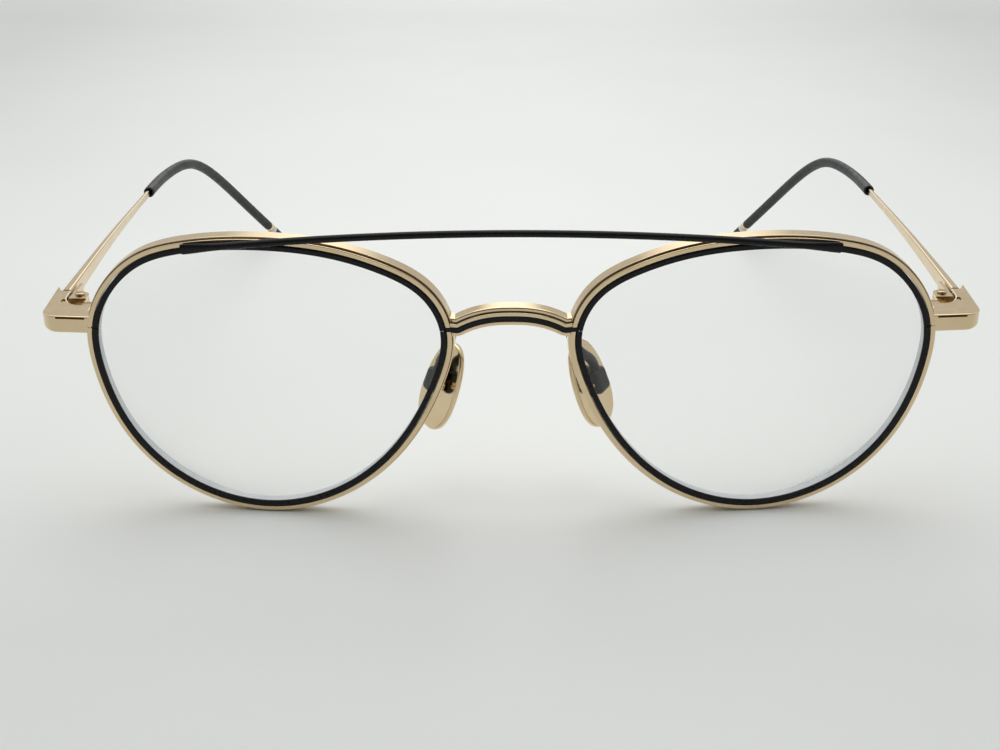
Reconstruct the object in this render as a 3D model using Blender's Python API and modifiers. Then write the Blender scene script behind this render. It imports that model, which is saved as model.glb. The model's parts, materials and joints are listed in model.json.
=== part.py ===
"""Aviator eyeglasses: a double rim, a brow bar, screwed nose pads and folding temples.

Metres, +Z up, +Y from the front towards the ears. The glasses stand open on a flat
surface, on the lowest points of both rims and on the two temple tips. Every sided
piece is made once at +X and mirrored. The front is modelled in a frame of its own,
x across, y up the lens plane and z forwards, which leans forwards at the top.
"""

import math

import bmesh
import bpy
import numpy as np
from mathutils import Matrix, Vector

MM = 0.001

# Lenses
LENS_WIDTH = 51.0 * MM
LENS_HEIGHT = 41.5 * MM
LENS_SPACING = 20.0 * MM
LENS_THICKNESS = 1.2 * MM
LENS_CURVE_RADIUS = 132.0 * MM
FACE_FORM = math.radians(4.5)
FRONT_LEAN = math.radians(4.0)
BLANK_STEPS = 28
BLANK_RINGS = 3
OUTLINE_COUNT = 50

# Clearances
SEAM = 0.1 * MM
SOLDER_SEAM = 0.05 * MM
SEAT_GAP = 0.15 * MM
LENS_EDGE_GAP = 0.2 * MM
RUNNING_GAP = 0.1 * MM
CUT_OVERRUN = 1.0 * MM

# Black inner ring, in two halves
RING_WIDTH = 0.86 * MM
RING_DEPTH = 2.05 * MM
RING_PROUD = 0.06 * MM
RING_ROUNDING = 0.18 * MM
RING_FRONT_LIP = 0.3 * MM
LENS_BITE = 0.42 * MM
BACK_BITE = 0.2 * MM
RING_SPLIT_GAP = 0.2 * MM
TEMPORAL_SPLIT_RISE = 7.1 * MM
NASAL_SPLIT_RISE = 8.2 * MM

# Gold rim
RIM_BAND = 0.68 * MM
RIM_STEP = 0.26 * MM
RIM_DEPTH = 2.7 * MM
RIM_ROUNDING = 0.1 * MM
RIM_GROOVE_DEPTH = 0.3 * MM
RIM_GROOVE_FRONT = 0.32 * MM
RIM_GROOVE_BACK = 0.6 * MM
RIM_SLIT = 0.25 * MM

# Bridge and its inlay
BRIDGE_RISE_FROM_LENS = 8.8 * MM
BRIDGE_ARCH = 2.05 * MM
BRIDGE_ARCH_POWER = 2.4
BRIDGE_LEVEL_END = 0.8 * MM
BRIDGE_HEIGHT = 2.5 * MM
BRIDGE_DEPTH = 2.8 * MM
BRIDGE_BOW = 0.8 * MM
BRIDGE_ROUNDING = 0.4 * MM
BRIDGE_LIP = 0.42 * MM
INLAY_HEIGHT = 0.82 * MM
INLAY_DEPTH = 0.5 * MM
BRIDGE_COUNT = 25

# Brow bar
BAR_DIAMETER = 1.05 * MM
BAR_HALF_LENGTH = 46.6 * MM
BAR_ABOVE_LENS = 3.1 * MM
BAR_SAG = 3.6 * MM
BAR_FLAT_LENGTH = 7.0 * MM
BAR_FLAT_THICKNESS = 0.7 * MM
BAR_COUNT = 31

# Endpieces
ENDPIECE_REACH = 6.8 * MM
ENDPIECE_RISE_FROM_LENS = 7.5 * MM
ENDPIECE_HEIGHT = 2.6 * MM
ENDPIECE_BAR = 4.6 * MM
ENDPIECE_WALL = 2.35 * MM
ENDPIECE_LENGTH = 11.9 * MM
ENDPIECE_CORNER = 2.4 * MM
ENDPIECE_CHEEK = 0.6 * MM
ENDPIECE_FLARE = 0.05 * MM
ENDPIECE_SWEEP = 0.6 * MM
ENDPIECE_FILLET_WIDTH = 1.3 * MM
ENDPIECE_FILLET_LENGTH = 2.4 * MM
ENDPIECE_ROUNDING = 0.15 * MM
ENDPIECE_SLIT_HEIGHT = 0.28 * MM
ENDPIECE_SLIT_DEPTH = 1.6 * MM
ENDPIECE_SLIT_DROP = 0.15 * MM
ENDPIECE_SLIT_LENGTH = 4.4 * MM
MITRE_WIDTH = 0.95 * MM
MITRE_LENGTH = 1.75 * MM
DIMPLE_WIDTH = 0.7 * MM
DIMPLE_LENGTH = 2.0 * MM
DIMPLE_DEPTH = 0.2 * MM
CORNER_STEPS = 5

# Rim locks behind the endpieces
LOCK_FOOT = 1.15 * MM
LOCK_WIDTH = 2.3 * MM
LOCK_DEPTH = 1.9 * MM
LOCK_HEIGHT = 1.0 * MM
LOCK_SCREW_RADIUS = 0.4 * MM
LOCK_HEAD_RADIUS = 0.7 * MM

# Hinges
HINGE_SETBACK = 1.0 * MM
BARREL_RADIUS = 1.3 * MM
KNUCKLE_HEIGHT = 0.6 * MM
PLATE_THICKNESS = 0.8 * MM
LEAF_THICKNESS = 0.45 * MM
LEAF_HEIGHT = 1.6 * MM
LEAF_LENGTH = 4.6 * MM
HINGE_SCREW_RADIUS = 0.4 * MM
HINGE_HEAD_RADIUS = 0.75 * MM
SCREW_HEAD_HEIGHT = 0.28 * MM
SCREW_SLOT_WIDTH = 0.2 * MM
SCREW_SLOT_DEPTH = 0.16 * MM
BUTT_GAP = 0.3 * MM

# Temples
TEMPLE_REACH = 131.0 * MM
TEMPLE_TOE_IN = 12.8 * MM
ARM_HEIGHT = 2.65 * MM
ARM_THICKNESS = 1.4 * MM
ARM_ROUNDING = 0.3 * MM
ARM_STEP_IN = 0.75 * MM
ARM_EXPOSED = 65.9 * MM
ARM_END_SHARE = 0.45
ARM_TAPER_POWER = 1.6
CORE_SHARE = 0.34
SLEEVE_RADIUS = 1.0 * MM
SLEEVE_BORE = 0.68 * MM
COLLAR_LENGTH = 0.9 * MM
BAND_LENGTH = 1.3 * MM
CAP_LENGTH = 2.4 * MM
CAP_BORE_DEPTH = 1.0 * MM
ARM_COUNT = 16
SLEEVE_COUNT = 20

# Nose pads
PAD_LENGTH = 14.6 * MM
PAD_WIDTH = 7.6 * MM
PAD_THICKNESS = 1.0 * MM
PAD_ROUNDING = 0.3 * MM
PAD_DROP = 0.6 * MM
PAD_SPLAY = math.radians(38.0)
PAD_TILT = math.radians(19.0)
PAD_PIVOT_ACROSS = 13.2 * MM
PAD_PIVOT_BELOW_LENS = 3.7 * MM
PAD_PIVOT_BACK = 9.2 * MM
PAD_BEND_LEFT = 1.7 * MM
PAD_STANDOFF = 1.25 * MM
STUD_WIDTH = 1.3 * MM
STUD_LENGTH = 2.0 * MM
STUD_PAST_PIVOT = 0.55 * MM
BOX_LENGTH = 4.0 * MM
BOX_WIDTH = 3.2 * MM
BOX_ROUNDING = 0.7 * MM
BOX_WALL = 0.5 * MM
BOX_DEPTH = 1.9 * MM
BOX_MOUTH = 0.75 * MM
PAD_SCREW_RADIUS = 0.35 * MM
PAD_SCREW_HEAD_RADIUS = 0.6 * MM
PAD_TAPER_SHARE = 0.12
PAD_END_FULLNESS = 0.9
PAD_SIDE_FULLNESS = 0.8
PAD_COUNT = 26

# Nose pad arms
PAD_ARM_RADIUS = 0.75 * MM
PAD_ARM_COUNT = 14

ROUND_STEPS = 14
SCREW_STEPS = 12

# Lens outline, as shares of half the lens width and height, temple side positive
OUTLINE_SHARES = (
    (0.987, 0.035),
    (0.995, 0.359),
    (0.883, 0.648),
    (0.687, 0.857),
    (0.445, 0.954),
    (0.000, 0.999),
    (-0.435, 0.934),
    (-0.669, 0.835),
    (-0.894, 0.656),
    (-1.004, 0.362),
    (-0.953, 0.035),
    (-0.724, -0.489),
    (-0.399, -0.845),
    (0.000, -1.001),
    (0.425, -0.905),
    (0.793, -0.541),
)

# Temple route, as shares of the reach, the toe-in and the drop to the table
ROUTE_SHARES = (
    (0.000, 0.000, 0.000),
    (0.273, -0.071, 0.009),
    (0.498, -0.129, 0.046),
    (0.654, -0.114, 0.081),
    (0.708, -0.035, 0.098),
    (0.758, 0.059, 0.149),
    (0.801, 0.176, 0.242),
    (0.840, 0.302, 0.362),
    (0.910, 0.569, 0.623),
    (1.000, 1.000, 1.000),
)

# Nose pad arm route: shares of the way across, down and back, from rim to box
PAD_ARM_SHARES = (
    (0.00, 0.00, 0.00),
    (0.00, 0.03, 0.16),
    (0.14, 0.30, 0.42),
    (0.52, 0.64, 0.68),
    (0.90, 0.88, 0.92),
    (1.00, 1.00, 1.00),
)

MIRROR = Matrix.Diagonal((-1.0, 1.0, 1.0, 1.0))


# Scene helpers

def clear_scene():
    for item in list(bpy.data.objects):
        bpy.data.objects.remove(item, do_unlink=True)


def new_collection(name):
    collection = bpy.data.collections.new(name)
    bpy.context.scene.collection.children.link(collection)
    return collection


def new_material(name, colour, roughness, metallic):
    material = bpy.data.materials.new(name)
    material.use_nodes = True
    shader = material.node_tree.nodes["Principled BSDF"]
    shader.inputs["Base Color"].default_value = (*colour, 1.0)
    shader.inputs["Roughness"].default_value = roughness
    shader.inputs["Metallic"].default_value = metallic
    return material


def new_frame(name, parent, matrix):
    """An empty that carries pieces; matrix is relative to its parent."""
    frame = bpy.data.objects.new(name, None)
    parts.objects.link(frame)
    frame.parent = parent
    frame.matrix_local = matrix
    bpy.context.view_layer.update()
    return frame


def new_object(name, data, parent, collection=None):
    item = bpy.data.objects.new(name, data)
    (collection or parts).objects.link(item)
    item.parent = parent
    return item


def frozen_mesh(item):
    """The evaluated mesh of an object, welded, with its faces pointing out."""
    bpy.context.view_layer.update()
    graph = bpy.context.evaluated_depsgraph_get()
    mesh = bpy.data.meshes.new_from_object(item.evaluated_get(graph))
    shape = bmesh.new()
    shape.from_mesh(mesh)
    bmesh.ops.remove_doubles(shape, verts=shape.verts, dist=WELD_DISTANCE)
    bmesh.ops.recalc_face_normals(shape, faces=shape.faces)
    shape.to_mesh(mesh)
    shape.free()
    return mesh


def frozen(item):
    """Replace an object by a plain mesh object with the same frame."""
    mesh = frozen_mesh(item)
    name = item.name
    solid = new_object("frozen", mesh, item.parent, item.users_collection[0])
    bpy.data.objects.remove(item, do_unlink=True)
    solid.name = name
    mesh.name = name
    return solid


def shade(item, sharp_angle=math.radians(35.0)):
    item.data.shade_smooth()
    item.data.set_sharp_from_angle(angle=sharp_angle)


def finish(item, material):
    item.data.materials.clear()
    item.data.materials.append(material)
    shade(item)
    return item


def mirrored(item, name, parent):
    """The same piece on the other side of the glasses, in the mirrored frame."""
    mesh = item.data.copy()
    mesh.transform(MIRROR)
    mesh.flip_normals()
    mesh.name = name
    return new_object(name, mesh, parent, item.users_collection[0])


def combine(item, other, operation, keep_other=False):
    """Boolean of two mesh objects; the second is used up unless it is kept."""
    step = item.modifiers.new(operation.lower(), "BOOLEAN")
    step.operation = operation
    step.solver = "EXACT"
    step.object = other
    result = frozen(item)
    if not keep_other:
        bpy.data.objects.remove(other, do_unlink=True)
    return result


def cut(item, cutter, keep_cutter=False):
    return combine(item, cutter, "DIFFERENCE", keep_cutter)


def join(item, other):
    return combine(item, other, "UNION")


# Smooth lines

def spline_function(anchors, closed):
    """A cubic spline through the anchors: its length, and a function of the distance."""
    anchors = np.asarray(anchors, dtype=float)
    following = np.roll(anchors, -1, axis=0)
    steps = np.linalg.norm(following - anchors, axis=1)
    count = len(anchors)
    spans = count if closed else count - 1
    matrix = np.eye(count)
    right = np.zeros_like(anchors)
    for i in range(count):
        if not closed and i in (0, count - 1):
            continue
        before = steps[i - 1]
        after = steps[i]
        matrix[i, i] = 2.0 * (before + after)
        matrix[i, i - 1] = before
        matrix[i, (i + 1) % count] = after
        rise_after = (following[i] - anchors[i]) / after
        rise_before = (anchors[i] - anchors[i - 1]) / before
        right[i] = 6.0 * (rise_after - rise_before)
    bends = np.linalg.solve(matrix, right)
    knots = np.concatenate(([0.0], np.cumsum(steps[:spans])))

    def point(distance):
        i = int(np.clip(np.searchsorted(knots, distance, side="right") - 1, 0, spans - 1))
        j = (i + 1) % count
        span = steps[i]
        ahead = distance - knots[i]
        left = span - ahead
        curved = (bends[i] * left**3 + bends[j] * ahead**3) / (6.0 * span)
        straight = (anchors[i] / span - bends[i] * span / 6.0) * left
        return curved + straight + (anchors[j] / span - bends[j] * span / 6.0) * ahead

    return knots[-1], point


def smooth_line(anchors, count, closed=False):
    """Evenly spaced points along the spline through the anchors."""
    length, point = spline_function(anchors, closed)
    dense = np.array([point(length * i / 2000.0) for i in range(2001)])
    walked = np.concatenate(([0.0], np.cumsum(np.linalg.norm(np.diff(dense, axis=0), axis=1))))
    wanted = np.linspace(0.0, walked[-1], count + 1 if closed else count)
    if closed:
        wanted = wanted[:-1]
    columns = [np.interp(wanted, walked, dense[:, k]) for k in range(dense.shape[1])]
    return np.stack(columns, axis=1)


def stretch(points, start, end, count):
    """Points along a line of points, between two distances from its first point."""
    points = np.asarray(points)
    walked = np.concatenate(([0.0], np.cumsum(np.linalg.norm(np.diff(points, axis=0), axis=1))))
    wanted = np.linspace(start, end, count)
    return np.stack([np.interp(wanted, walked, points[:, k]) for k in range(points.shape[1])], axis=1)


def line_length(points):
    return float(np.linalg.norm(np.diff(np.asarray(points), axis=0), axis=1).sum())


# Modelling tools

def new_curve(name, points, closed, flat=False):
    data = bpy.data.curves.new(name, "CURVE")
    data.dimensions = "2D" if flat else "3D"
    line = data.splines.new("POLY")
    line.points.add(len(points) - 1)
    for target, point in zip(line.points, points):
        target.co = (*point[:2], 0.0 if len(point) < 3 else point[2], 1.0)
    line.use_cyclic_u = closed
    line.use_smooth = True
    return data


def swept(name, points, section, closed, parent, scales=None):
    """A section, right-hand offset and height, carried along a line of points."""
    profile = new_object("profile", new_curve("profile", section, True, flat=True), None, guides)
    data = new_curve(name, points, closed)
    data.twist_mode = "Z_UP"
    data.bevel_mode = "OBJECT"
    data.bevel_object = profile
    data.use_fill_caps = not closed
    if scales is not None:
        for target, scale in zip(data.splines[0].points, scales):
            target.radius = scale
    solid = frozen(new_object(name, data, parent))
    bpy.data.objects.remove(profile, do_unlink=True)
    return solid


def wire(name, points, radius, parent, sides_level=2):
    """A round wire along a line of points."""
    data = new_curve(name, points, False)
    data.bevel_depth = radius
    data.bevel_resolution = sides_level
    data.use_fill_caps = True
    return frozen(new_object(name, data, parent))


def flat_plate(name, outline, thickness, parent, collection=None):
    """A closed outline in the frame's xy plane, as thick to each side of it."""
    mesh = bpy.data.meshes.new(name)
    shape = bmesh.new()
    face = shape.faces.new([shape.verts.new((x, y, -thickness / 2.0)) for x, y in outline])
    raised = bmesh.ops.extrude_face_region(shape, geom=[face], use_keep_orig=True)
    corners = [item for item in raised["geom"] if isinstance(item, bmesh.types.BMVert)]
    bmesh.ops.translate(shape, verts=corners, vec=(0.0, 0.0, thickness))
    bmesh.ops.recalc_face_normals(shape, faces=shape.faces)
    shape.to_mesh(mesh)
    shape.free()
    return new_object(name, mesh, parent, collection)


def turned(name, profile, parent, steps=ROUND_STEPS):
    """A profile of radius and height, from top to bottom, turned about the z axis."""
    mesh = bpy.data.meshes.new(name)
    shape = bmesh.new()
    corners = [shape.verts.new((radius, 0.0, height)) for radius, height in profile]
    for one, other in zip(corners, corners[1:]):
        shape.edges.new((one, other))
    shape.to_mesh(mesh)
    shape.free()
    item = new_object(name, mesh, parent)
    screw = item.modifiers.new("turn", "SCREW")
    screw.steps = steps
    screw.render_steps = steps
    screw.use_merge_vertices = True
    screw.merge_threshold = WELD_DISTANCE
    return frozen(item)


def block(name, low, high, parent):
    """A box between two corners."""
    mesh = bpy.data.meshes.new(name)
    shape = bmesh.new()
    bmesh.ops.create_cube(shape, size=1.0)
    shape.to_mesh(mesh)
    shape.free()
    low = Vector(low)
    high = Vector(high)
    sizes = high - low
    mesh.transform(Matrix.Translation((low + high) / 2.0) @ Matrix.Diagonal((*sizes, 1.0)))
    return new_object(name, mesh, parent)


def rod(name, centre, radius, height, parent, steps=ROUND_STEPS):
    """An upright cylinder."""
    mesh = bpy.data.meshes.new(name)
    shape = bmesh.new()
    bmesh.ops.create_cone(
        shape, cap_ends=True, segments=steps, radius1=radius, radius2=radius, depth=height
    )
    shape.to_mesh(mesh)
    shape.free()
    mesh.transform(Matrix.Translation(centre))
    return new_object(name, mesh, parent)


def rounded_edges(item, width, segments=1, angle=math.radians(40.0)):
    bevel = item.modifiers.new("rounded", "BEVEL")
    bevel.width = width
    bevel.segments = segments
    bevel.limit_method = "ANGLE"
    bevel.angle_limit = angle
    return frozen(item)


def rounded_section(width, height, rounding):
    """A rectangle with cut corners about the origin."""
    half_width = width / 2.0
    half_height = height / 2.0
    return [
        (half_width, half_height - rounding),
        (half_width - rounding, half_height),
        (rounding - half_width, half_height),
        (-half_width, half_height - rounding),
        (-half_width, rounding - half_height),
        (rounding - half_width, -half_height),
        (half_width - rounding, -half_height),
        (half_width, rounding - half_height),
    ]


def screw_shape(name, shank_radius, shank_length, head_radius, parent):
    """A slotted screw with its head's underside at the origin and its shank down."""
    profile = (
        (0.0, SCREW_HEAD_HEIGHT),
        (head_radius - SCREW_SLOT_DEPTH / 2.0, SCREW_HEAD_HEIGHT),
        (head_radius, SCREW_HEAD_HEIGHT - SCREW_SLOT_DEPTH / 2.0),
        (head_radius, 0.0),
        (shank_radius, 0.0),
        (shank_radius, -shank_length),
        (0.0, -shank_length),
    )
    screw = turned(name, profile, parent, steps=SCREW_STEPS)
    reach = head_radius + CUT_OVERRUN
    half_slot = SCREW_SLOT_WIDTH / 2.0
    slot = block(
        "slot",
        (-reach, -half_slot, SCREW_HEAD_HEIGHT - SCREW_SLOT_DEPTH),
        (reach, half_slot, SCREW_HEAD_HEIGHT + CUT_OVERRUN),
        parent,
    )
    return cut(screw, slot)


# The lens outline and the surface that the whole front follows

def lens_outline(offset=0.0):
    """Points round the lens edge, moved outwards by an offset."""
    half = np.array([LENS_WIDTH / 2.0, LENS_HEIGHT / 2.0])
    edge = smooth_line(np.array(OUTLINE_SHARES) * half, OUTLINE_COUNT, closed=True)
    along = np.roll(edge, -1, axis=0) - np.roll(edge, 1, axis=0)
    along /= np.linalg.norm(along, axis=1)[:, None]
    outward = np.stack([along[:, 1], -along[:, 0]], axis=1)
    return edge + outward * offset


def curve_back(x, y):
    """How far the lens curve falls back at a point of the lens."""
    return LENS_CURVE_RADIUS - math.sqrt(LENS_CURVE_RADIUS**2 - x * x - y * y)


def on_curve(points):
    return [(x, y, -curve_back(x, y)) for x, y in points]


def edge_at_height(height, side):
    """Distance across the lens centre to its edge, at a height, on side 1 or -1."""
    edge = lens_outline()
    best = None
    for one, other in zip(edge, np.roll(edge, -1, axis=0)):
        if (one[1] - height) * (other[1] - height) > 0.0:
            continue
        share = (height - one[1]) / (other[1] - one[1])
        across = one[0] + (other[0] - one[0]) * share
        if across * side > 0.0:
            best = across
    return best


def eye_matrix():
    """The right-hand lens frame inside the front frame."""
    across = (LENS_SPACING + LENS_WIDTH) / 2.0
    return Matrix.Translation((across, LENS_CENTRE_UP, 0.0)) @ Matrix.Rotation(FACE_FORM, 4, "Y")


def front_depth(across, up_from_lens):
    """How far the lens curve lies behind the front frame's plane, on the right."""
    inside = eye_matrix().inverted() @ Vector((across, LENS_CENTRE_UP + up_from_lens, 0.0))
    surface = Vector((inside.x, inside.y, -curve_back(inside.x, inside.y)))
    return -(eye_matrix() @ surface).z


def rim_face(height, side, offset=0.0):
    """A point of the rim's front, beside the lens edge at a height, in the front frame."""
    edge = edge_at_height(height, side)
    return eye_matrix() @ Vector((edge + side * offset, height, -curve_back(edge, height)))


# Sizes that follow from the driving ones
WELD_DISTANCE = 0.000001
RING_INNER = -LENS_BITE
RING_OUTER = RING_INNER + RING_WIDTH
RIM_INNER = RING_OUTER + SEAM
RIM_FACE_OUTER = RIM_INNER + RIM_BAND
RIM_OUTER = RIM_FACE_OUTER + RIM_STEP
LENS_FRONT = RING_FRONT_LIP + SEAT_GAP
RING_BACK_LIP = LENS_FRONT + LENS_THICKNESS + SEAT_GAP
LENS_CENTRE_UP = LENS_HEIGHT / 2.0 + RIM_OUTER
BARREL_STACK = 3.0 * KNUCKLE_HEIGHT + 2.0 * RUNNING_GAP
SCREW_BORE = HINGE_SCREW_RADIUS + RUNNING_GAP
TIP_STACK = COLLAR_LENGTH + BAND_LENGTH + CAP_LENGTH + 3.0 * SEAM


# Rims, rings and lenses

def rim_section():
    return [
        (RIM_INNER, -RIM_ROUNDING),
        (RIM_INNER + RIM_ROUNDING, 0.0),
        (RIM_FACE_OUTER - RIM_ROUNDING, 0.0),
        (RIM_FACE_OUTER, -RIM_ROUNDING),
        (RIM_FACE_OUTER, -RIM_GROOVE_FRONT),
        (RIM_FACE_OUTER - RIM_GROOVE_DEPTH, -(RIM_GROOVE_FRONT + RIM_GROOVE_BACK) / 2.0),
        (RIM_OUTER - RIM_ROUNDING, -RIM_GROOVE_BACK),
        (RIM_OUTER, -RIM_GROOVE_BACK - RIM_ROUNDING),
        (RIM_OUTER, RIM_ROUNDING - RIM_DEPTH),
        (RIM_OUTER - RIM_ROUNDING, -RIM_DEPTH),
        (RIM_INNER, -RIM_DEPTH),
    ]


def ring_section():
    groove = RING_INNER + LENS_BITE + LENS_EDGE_GAP
    return [
        (RING_INNER, RING_PROUD - RING_ROUNDING),
        (RING_INNER + RING_ROUNDING, RING_PROUD),
        (RING_OUTER - RING_ROUNDING, RING_PROUD),
        (RING_OUTER, RING_PROUD - RING_ROUNDING),
        (RING_OUTER, -RING_DEPTH),
        (-BACK_BITE, -RING_DEPTH),
        (-BACK_BITE, -RING_BACK_LIP),
        (groove, -RING_BACK_LIP),
        (groove, -RING_FRONT_LIP),
        (RING_INNER, -RING_FRONT_LIP),
    ]


def outline_between(start_height, start_side, end_height, end_side):
    """The lens outline from one split to the next, anticlockwise, as points."""
    edge = lens_outline()
    walk = np.concatenate((edge, edge, edge[:1]))
    steps = np.linalg.norm(np.diff(walk, axis=0), axis=1)
    walked = np.concatenate(([0.0], np.cumsum(steps)))

    def distance_to(height, side):
        across = edge_at_height(height, side)
        target = np.array([across, height])
        best = min(range(len(edge)), key=lambda i: np.linalg.norm(walk[i] - target)
                   + np.linalg.norm(walk[i + 1] - target) - steps[i])
        return walked[best] + np.linalg.norm(target - walk[best])

    start = distance_to(start_height, start_side) + RING_SPLIT_GAP / 2.0
    end = distance_to(end_height, end_side) - RING_SPLIT_GAP / 2.0
    if end < start:
        end += walked[len(edge)]
    inner = [walk[i] for i in range(len(walk)) if start < walked[i] < end]
    ends = [[np.interp(d, walked, walk[:, k]) for k in range(2)] for d in (start, end)]
    nearest = RING_SPLIT_GAP
    inner = [p for p in inner if min(math.dist(p, e) for e in ends) > nearest]
    return [ends[0], *inner, ends[1]]


def build_lens():
    radius = math.hypot(LENS_WIDTH, LENS_HEIGHT) / 2.0 + CUT_OVERRUN
    radii = [radius * i / BLANK_RINGS for i in range(BLANK_RINGS + 1)]
    front = [(r, -LENS_FRONT - curve_back(r, 0.0)) for r in radii]
    back = [(r, height - LENS_THICKNESS) for r, height in reversed(front)]
    blank = turned("lens_right", front + back, eye_right, steps=BLANK_STEPS)
    edge = flat_plate("edge", lens_outline(), 2.0 * radius, eye_right, guides)
    return combine(blank, edge, "INTERSECT")


def build_rim():
    rim = swept("rim_right", on_curve(lens_outline()), rim_section(), True, eye_right)
    across = edge_at_height(TEMPORAL_SPLIT_RISE, 1)
    slit = block(
        "slit",
        (across + RIM_INNER - CUT_OVERRUN, TEMPORAL_SPLIT_RISE - RIM_SLIT / 2.0, -LENS_WIDTH / 2.0),
        (across + RIM_OUTER + CUT_OVERRUN, TEMPORAL_SPLIT_RISE + RIM_SLIT / 2.0, CUT_OVERRUN),
        eye_right,
    )
    return cut(rim, slit)


def build_rings():
    upper = outline_between(TEMPORAL_SPLIT_RISE, 1, NASAL_SPLIT_RISE, -1)
    lower = outline_between(NASAL_SPLIT_RISE, -1, TEMPORAL_SPLIT_RISE, 1)
    rings = []
    for name, route in (("inner_ring_upper_right", upper), ("inner_ring_lower_right", lower)):
        rings.append(swept(name, on_curve(route), ring_section(), False, eye_right))
    return rings


def outline_prism(name, offset, parent):
    """All that lies inside the lens outline, moved outwards, as a cutter."""
    return flat_plate(name, lens_outline(offset), LENS_WIDTH, parent, guides)


def rim_coper():
    """A cutter that copes a piece round the rim: its front band, and its wider body behind."""
    edge = edge_at_height(ENDPIECE_RISE_FROM_LENS, 1)
    step_depth = curve_back(edge, ENDPIECE_RISE_FROM_LENS) + RIM_GROOVE_BACK - SOLDER_SEAM
    band = outline_prism("band_right", RIM_FACE_OUTER + SOLDER_SEAM, eye_right)
    body = outline_prism("body_right", RIM_OUTER + SOLDER_SEAM, eye_right)
    body.data.transform(Matrix.Translation((0.0, 0.0, -LENS_WIDTH / 2.0 - step_depth)))
    return join(band, body)


# Bridge, inlay and brow bar

def bridge_line(half_length):
    """The bridge's front edge line, from +x to -x, in the front frame."""
    face = rim_face(BRIDGE_RISE_FROM_LENS, -1, RIM_OUTER)
    arch_half = face.x - BRIDGE_LEVEL_END
    points = []
    for i in range(BRIDGE_COUNT):
        x = half_length * (1.0 - 2.0 * i / (BRIDGE_COUNT - 1))
        fallen = min(abs(x) / arch_half, 1.0) ** BRIDGE_ARCH_POWER
        up = LENS_CENTRE_UP + BRIDGE_RISE_FROM_LENS + BRIDGE_ARCH * (1.0 - fallen)
        share = min(abs(x) / face.x, 1.0)
        depth = -face.z - BRIDGE_BOW * (1.0 - share * share)
        depth += math.tan(FACE_FORM) * max(abs(x) - face.x, 0.0)
        points.append((x, up, -depth))
    return points


def bridge_section():
    """Up and forwards: the rim's groove runs on along the top, the slot holds the inlay."""
    top = BRIDGE_HEIGHT / 2.0
    band_top = top - RIM_STEP
    slot_low = BRIDGE_LIP - top
    slot_high = slot_low + INLAY_HEIGHT + 2.0 * SEAM
    slot_depth = INLAY_DEPTH + SEAM
    back = -BRIDGE_DEPTH
    return [
        (top, back + BRIDGE_ROUNDING),
        (top, -RIM_GROOVE_BACK - RIM_ROUNDING),
        (top - RIM_ROUNDING, -RIM_GROOVE_BACK),
        (band_top - RIM_GROOVE_DEPTH, -(RIM_GROOVE_FRONT + RIM_GROOVE_BACK) / 2.0),
        (band_top, -RIM_GROOVE_FRONT),
        (band_top, -RIM_ROUNDING),
        (band_top - RIM_ROUNDING, 0.0),
        (slot_high, 0.0),
        (slot_high, -slot_depth),
        (slot_low, -slot_depth),
        (slot_low, 0.0),
        (-top + RIM_ROUNDING, 0.0),
        (-top, -RIM_ROUNDING),
        (-top, back + BRIDGE_ROUNDING),
        (BRIDGE_ROUNDING - top, back),
        (top - BRIDGE_ROUNDING, back),
    ]


def inlay_section(grow=0.0):
    low = BRIDGE_LIP + SEAM - BRIDGE_HEIGHT / 2.0 - grow
    high = low + INLAY_HEIGHT + 2.0 * grow
    proud = RING_PROUD + grow
    return [
        (high, -INLAY_DEPTH - grow),
        (high, proud),
        (low, proud),
        (low, -INLAY_DEPTH - grow),
    ]


def bridge_reach():
    return LENS_SPACING / 2.0 + RIM_OUTER


def build_bridge(copers):
    reach = bridge_reach()
    bridge = swept("bridge", bridge_line(reach), bridge_section(), False, front)
    for coper in copers:
        bridge = cut(bridge, coper, keep_cutter=True)
    return bridge


def build_inlay(copers):
    reach = bridge_reach()
    inlay = swept("bridge_inlay", bridge_line(reach), inlay_section(), False, front)
    for coper in copers:
        inlay = cut(inlay, coper, keep_cutter=True)
    return inlay


def bar_depth(x, up_from_lens):
    """The bar follows the rims' fronts and bows forwards between the lens centres."""
    rim_stand = RIM_FACE_OUTER * LENS_WIDTH / 2.0 / LENS_CURVE_RADIUS
    clear = BAR_FLAT_THICKNESS / 2.0 + RING_PROUD + SEAM + rim_stand
    centre = (LENS_SPACING + LENS_WIDTH) / 2.0
    inside = max(centre - abs(x), 0.0)
    bow = math.tan(FACE_FORM) * (centre * centre - (centre - inside) ** 2) / (2.0 * centre)
    return front_depth(max(abs(x), centre), up_from_lens) - clear - bow


def build_brow_bar():
    points = []
    for i in range(BAR_COUNT):
        share = 1.0 - 2.0 * i / (BAR_COUNT - 1)
        rise = LENS_HEIGHT / 2.0 + BAR_ABOVE_LENS - BAR_SAG * share * share
        x = BAR_HALF_LENGTH * share
        points.append((x, LENS_CENTRE_UP + rise, -bar_depth(x, rise)))
    bar = wire("brow_bar", points, BAR_DIAMETER / 2.0, front)
    flattened = BAR_FLAT_THICKNESS / BAR_DIAMETER
    line = np.array(points)[::-1]
    for vertex in bar.data.vertices:
        x = vertex.co.x
        flat = np.clip((abs(x) - BAR_HALF_LENGTH + BAR_FLAT_LENGTH) / BAR_FLAT_LENGTH, 0.0, 1.0)
        flat = flat * flat * (3.0 - 2.0 * flat)
        centre_up = np.interp(x, line[:, 0], line[:, 1])
        centre_forward = np.interp(x, line[:, 0], line[:, 2])
        thin = 1.0 + (flattened - 1.0) * flat
        vertex.co.z = centre_forward + (vertex.co.z - centre_forward) * thin
        vertex.co.y = centre_up + (vertex.co.y - centre_up) / thin
    return bar


# Endpieces and rim locks

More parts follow.
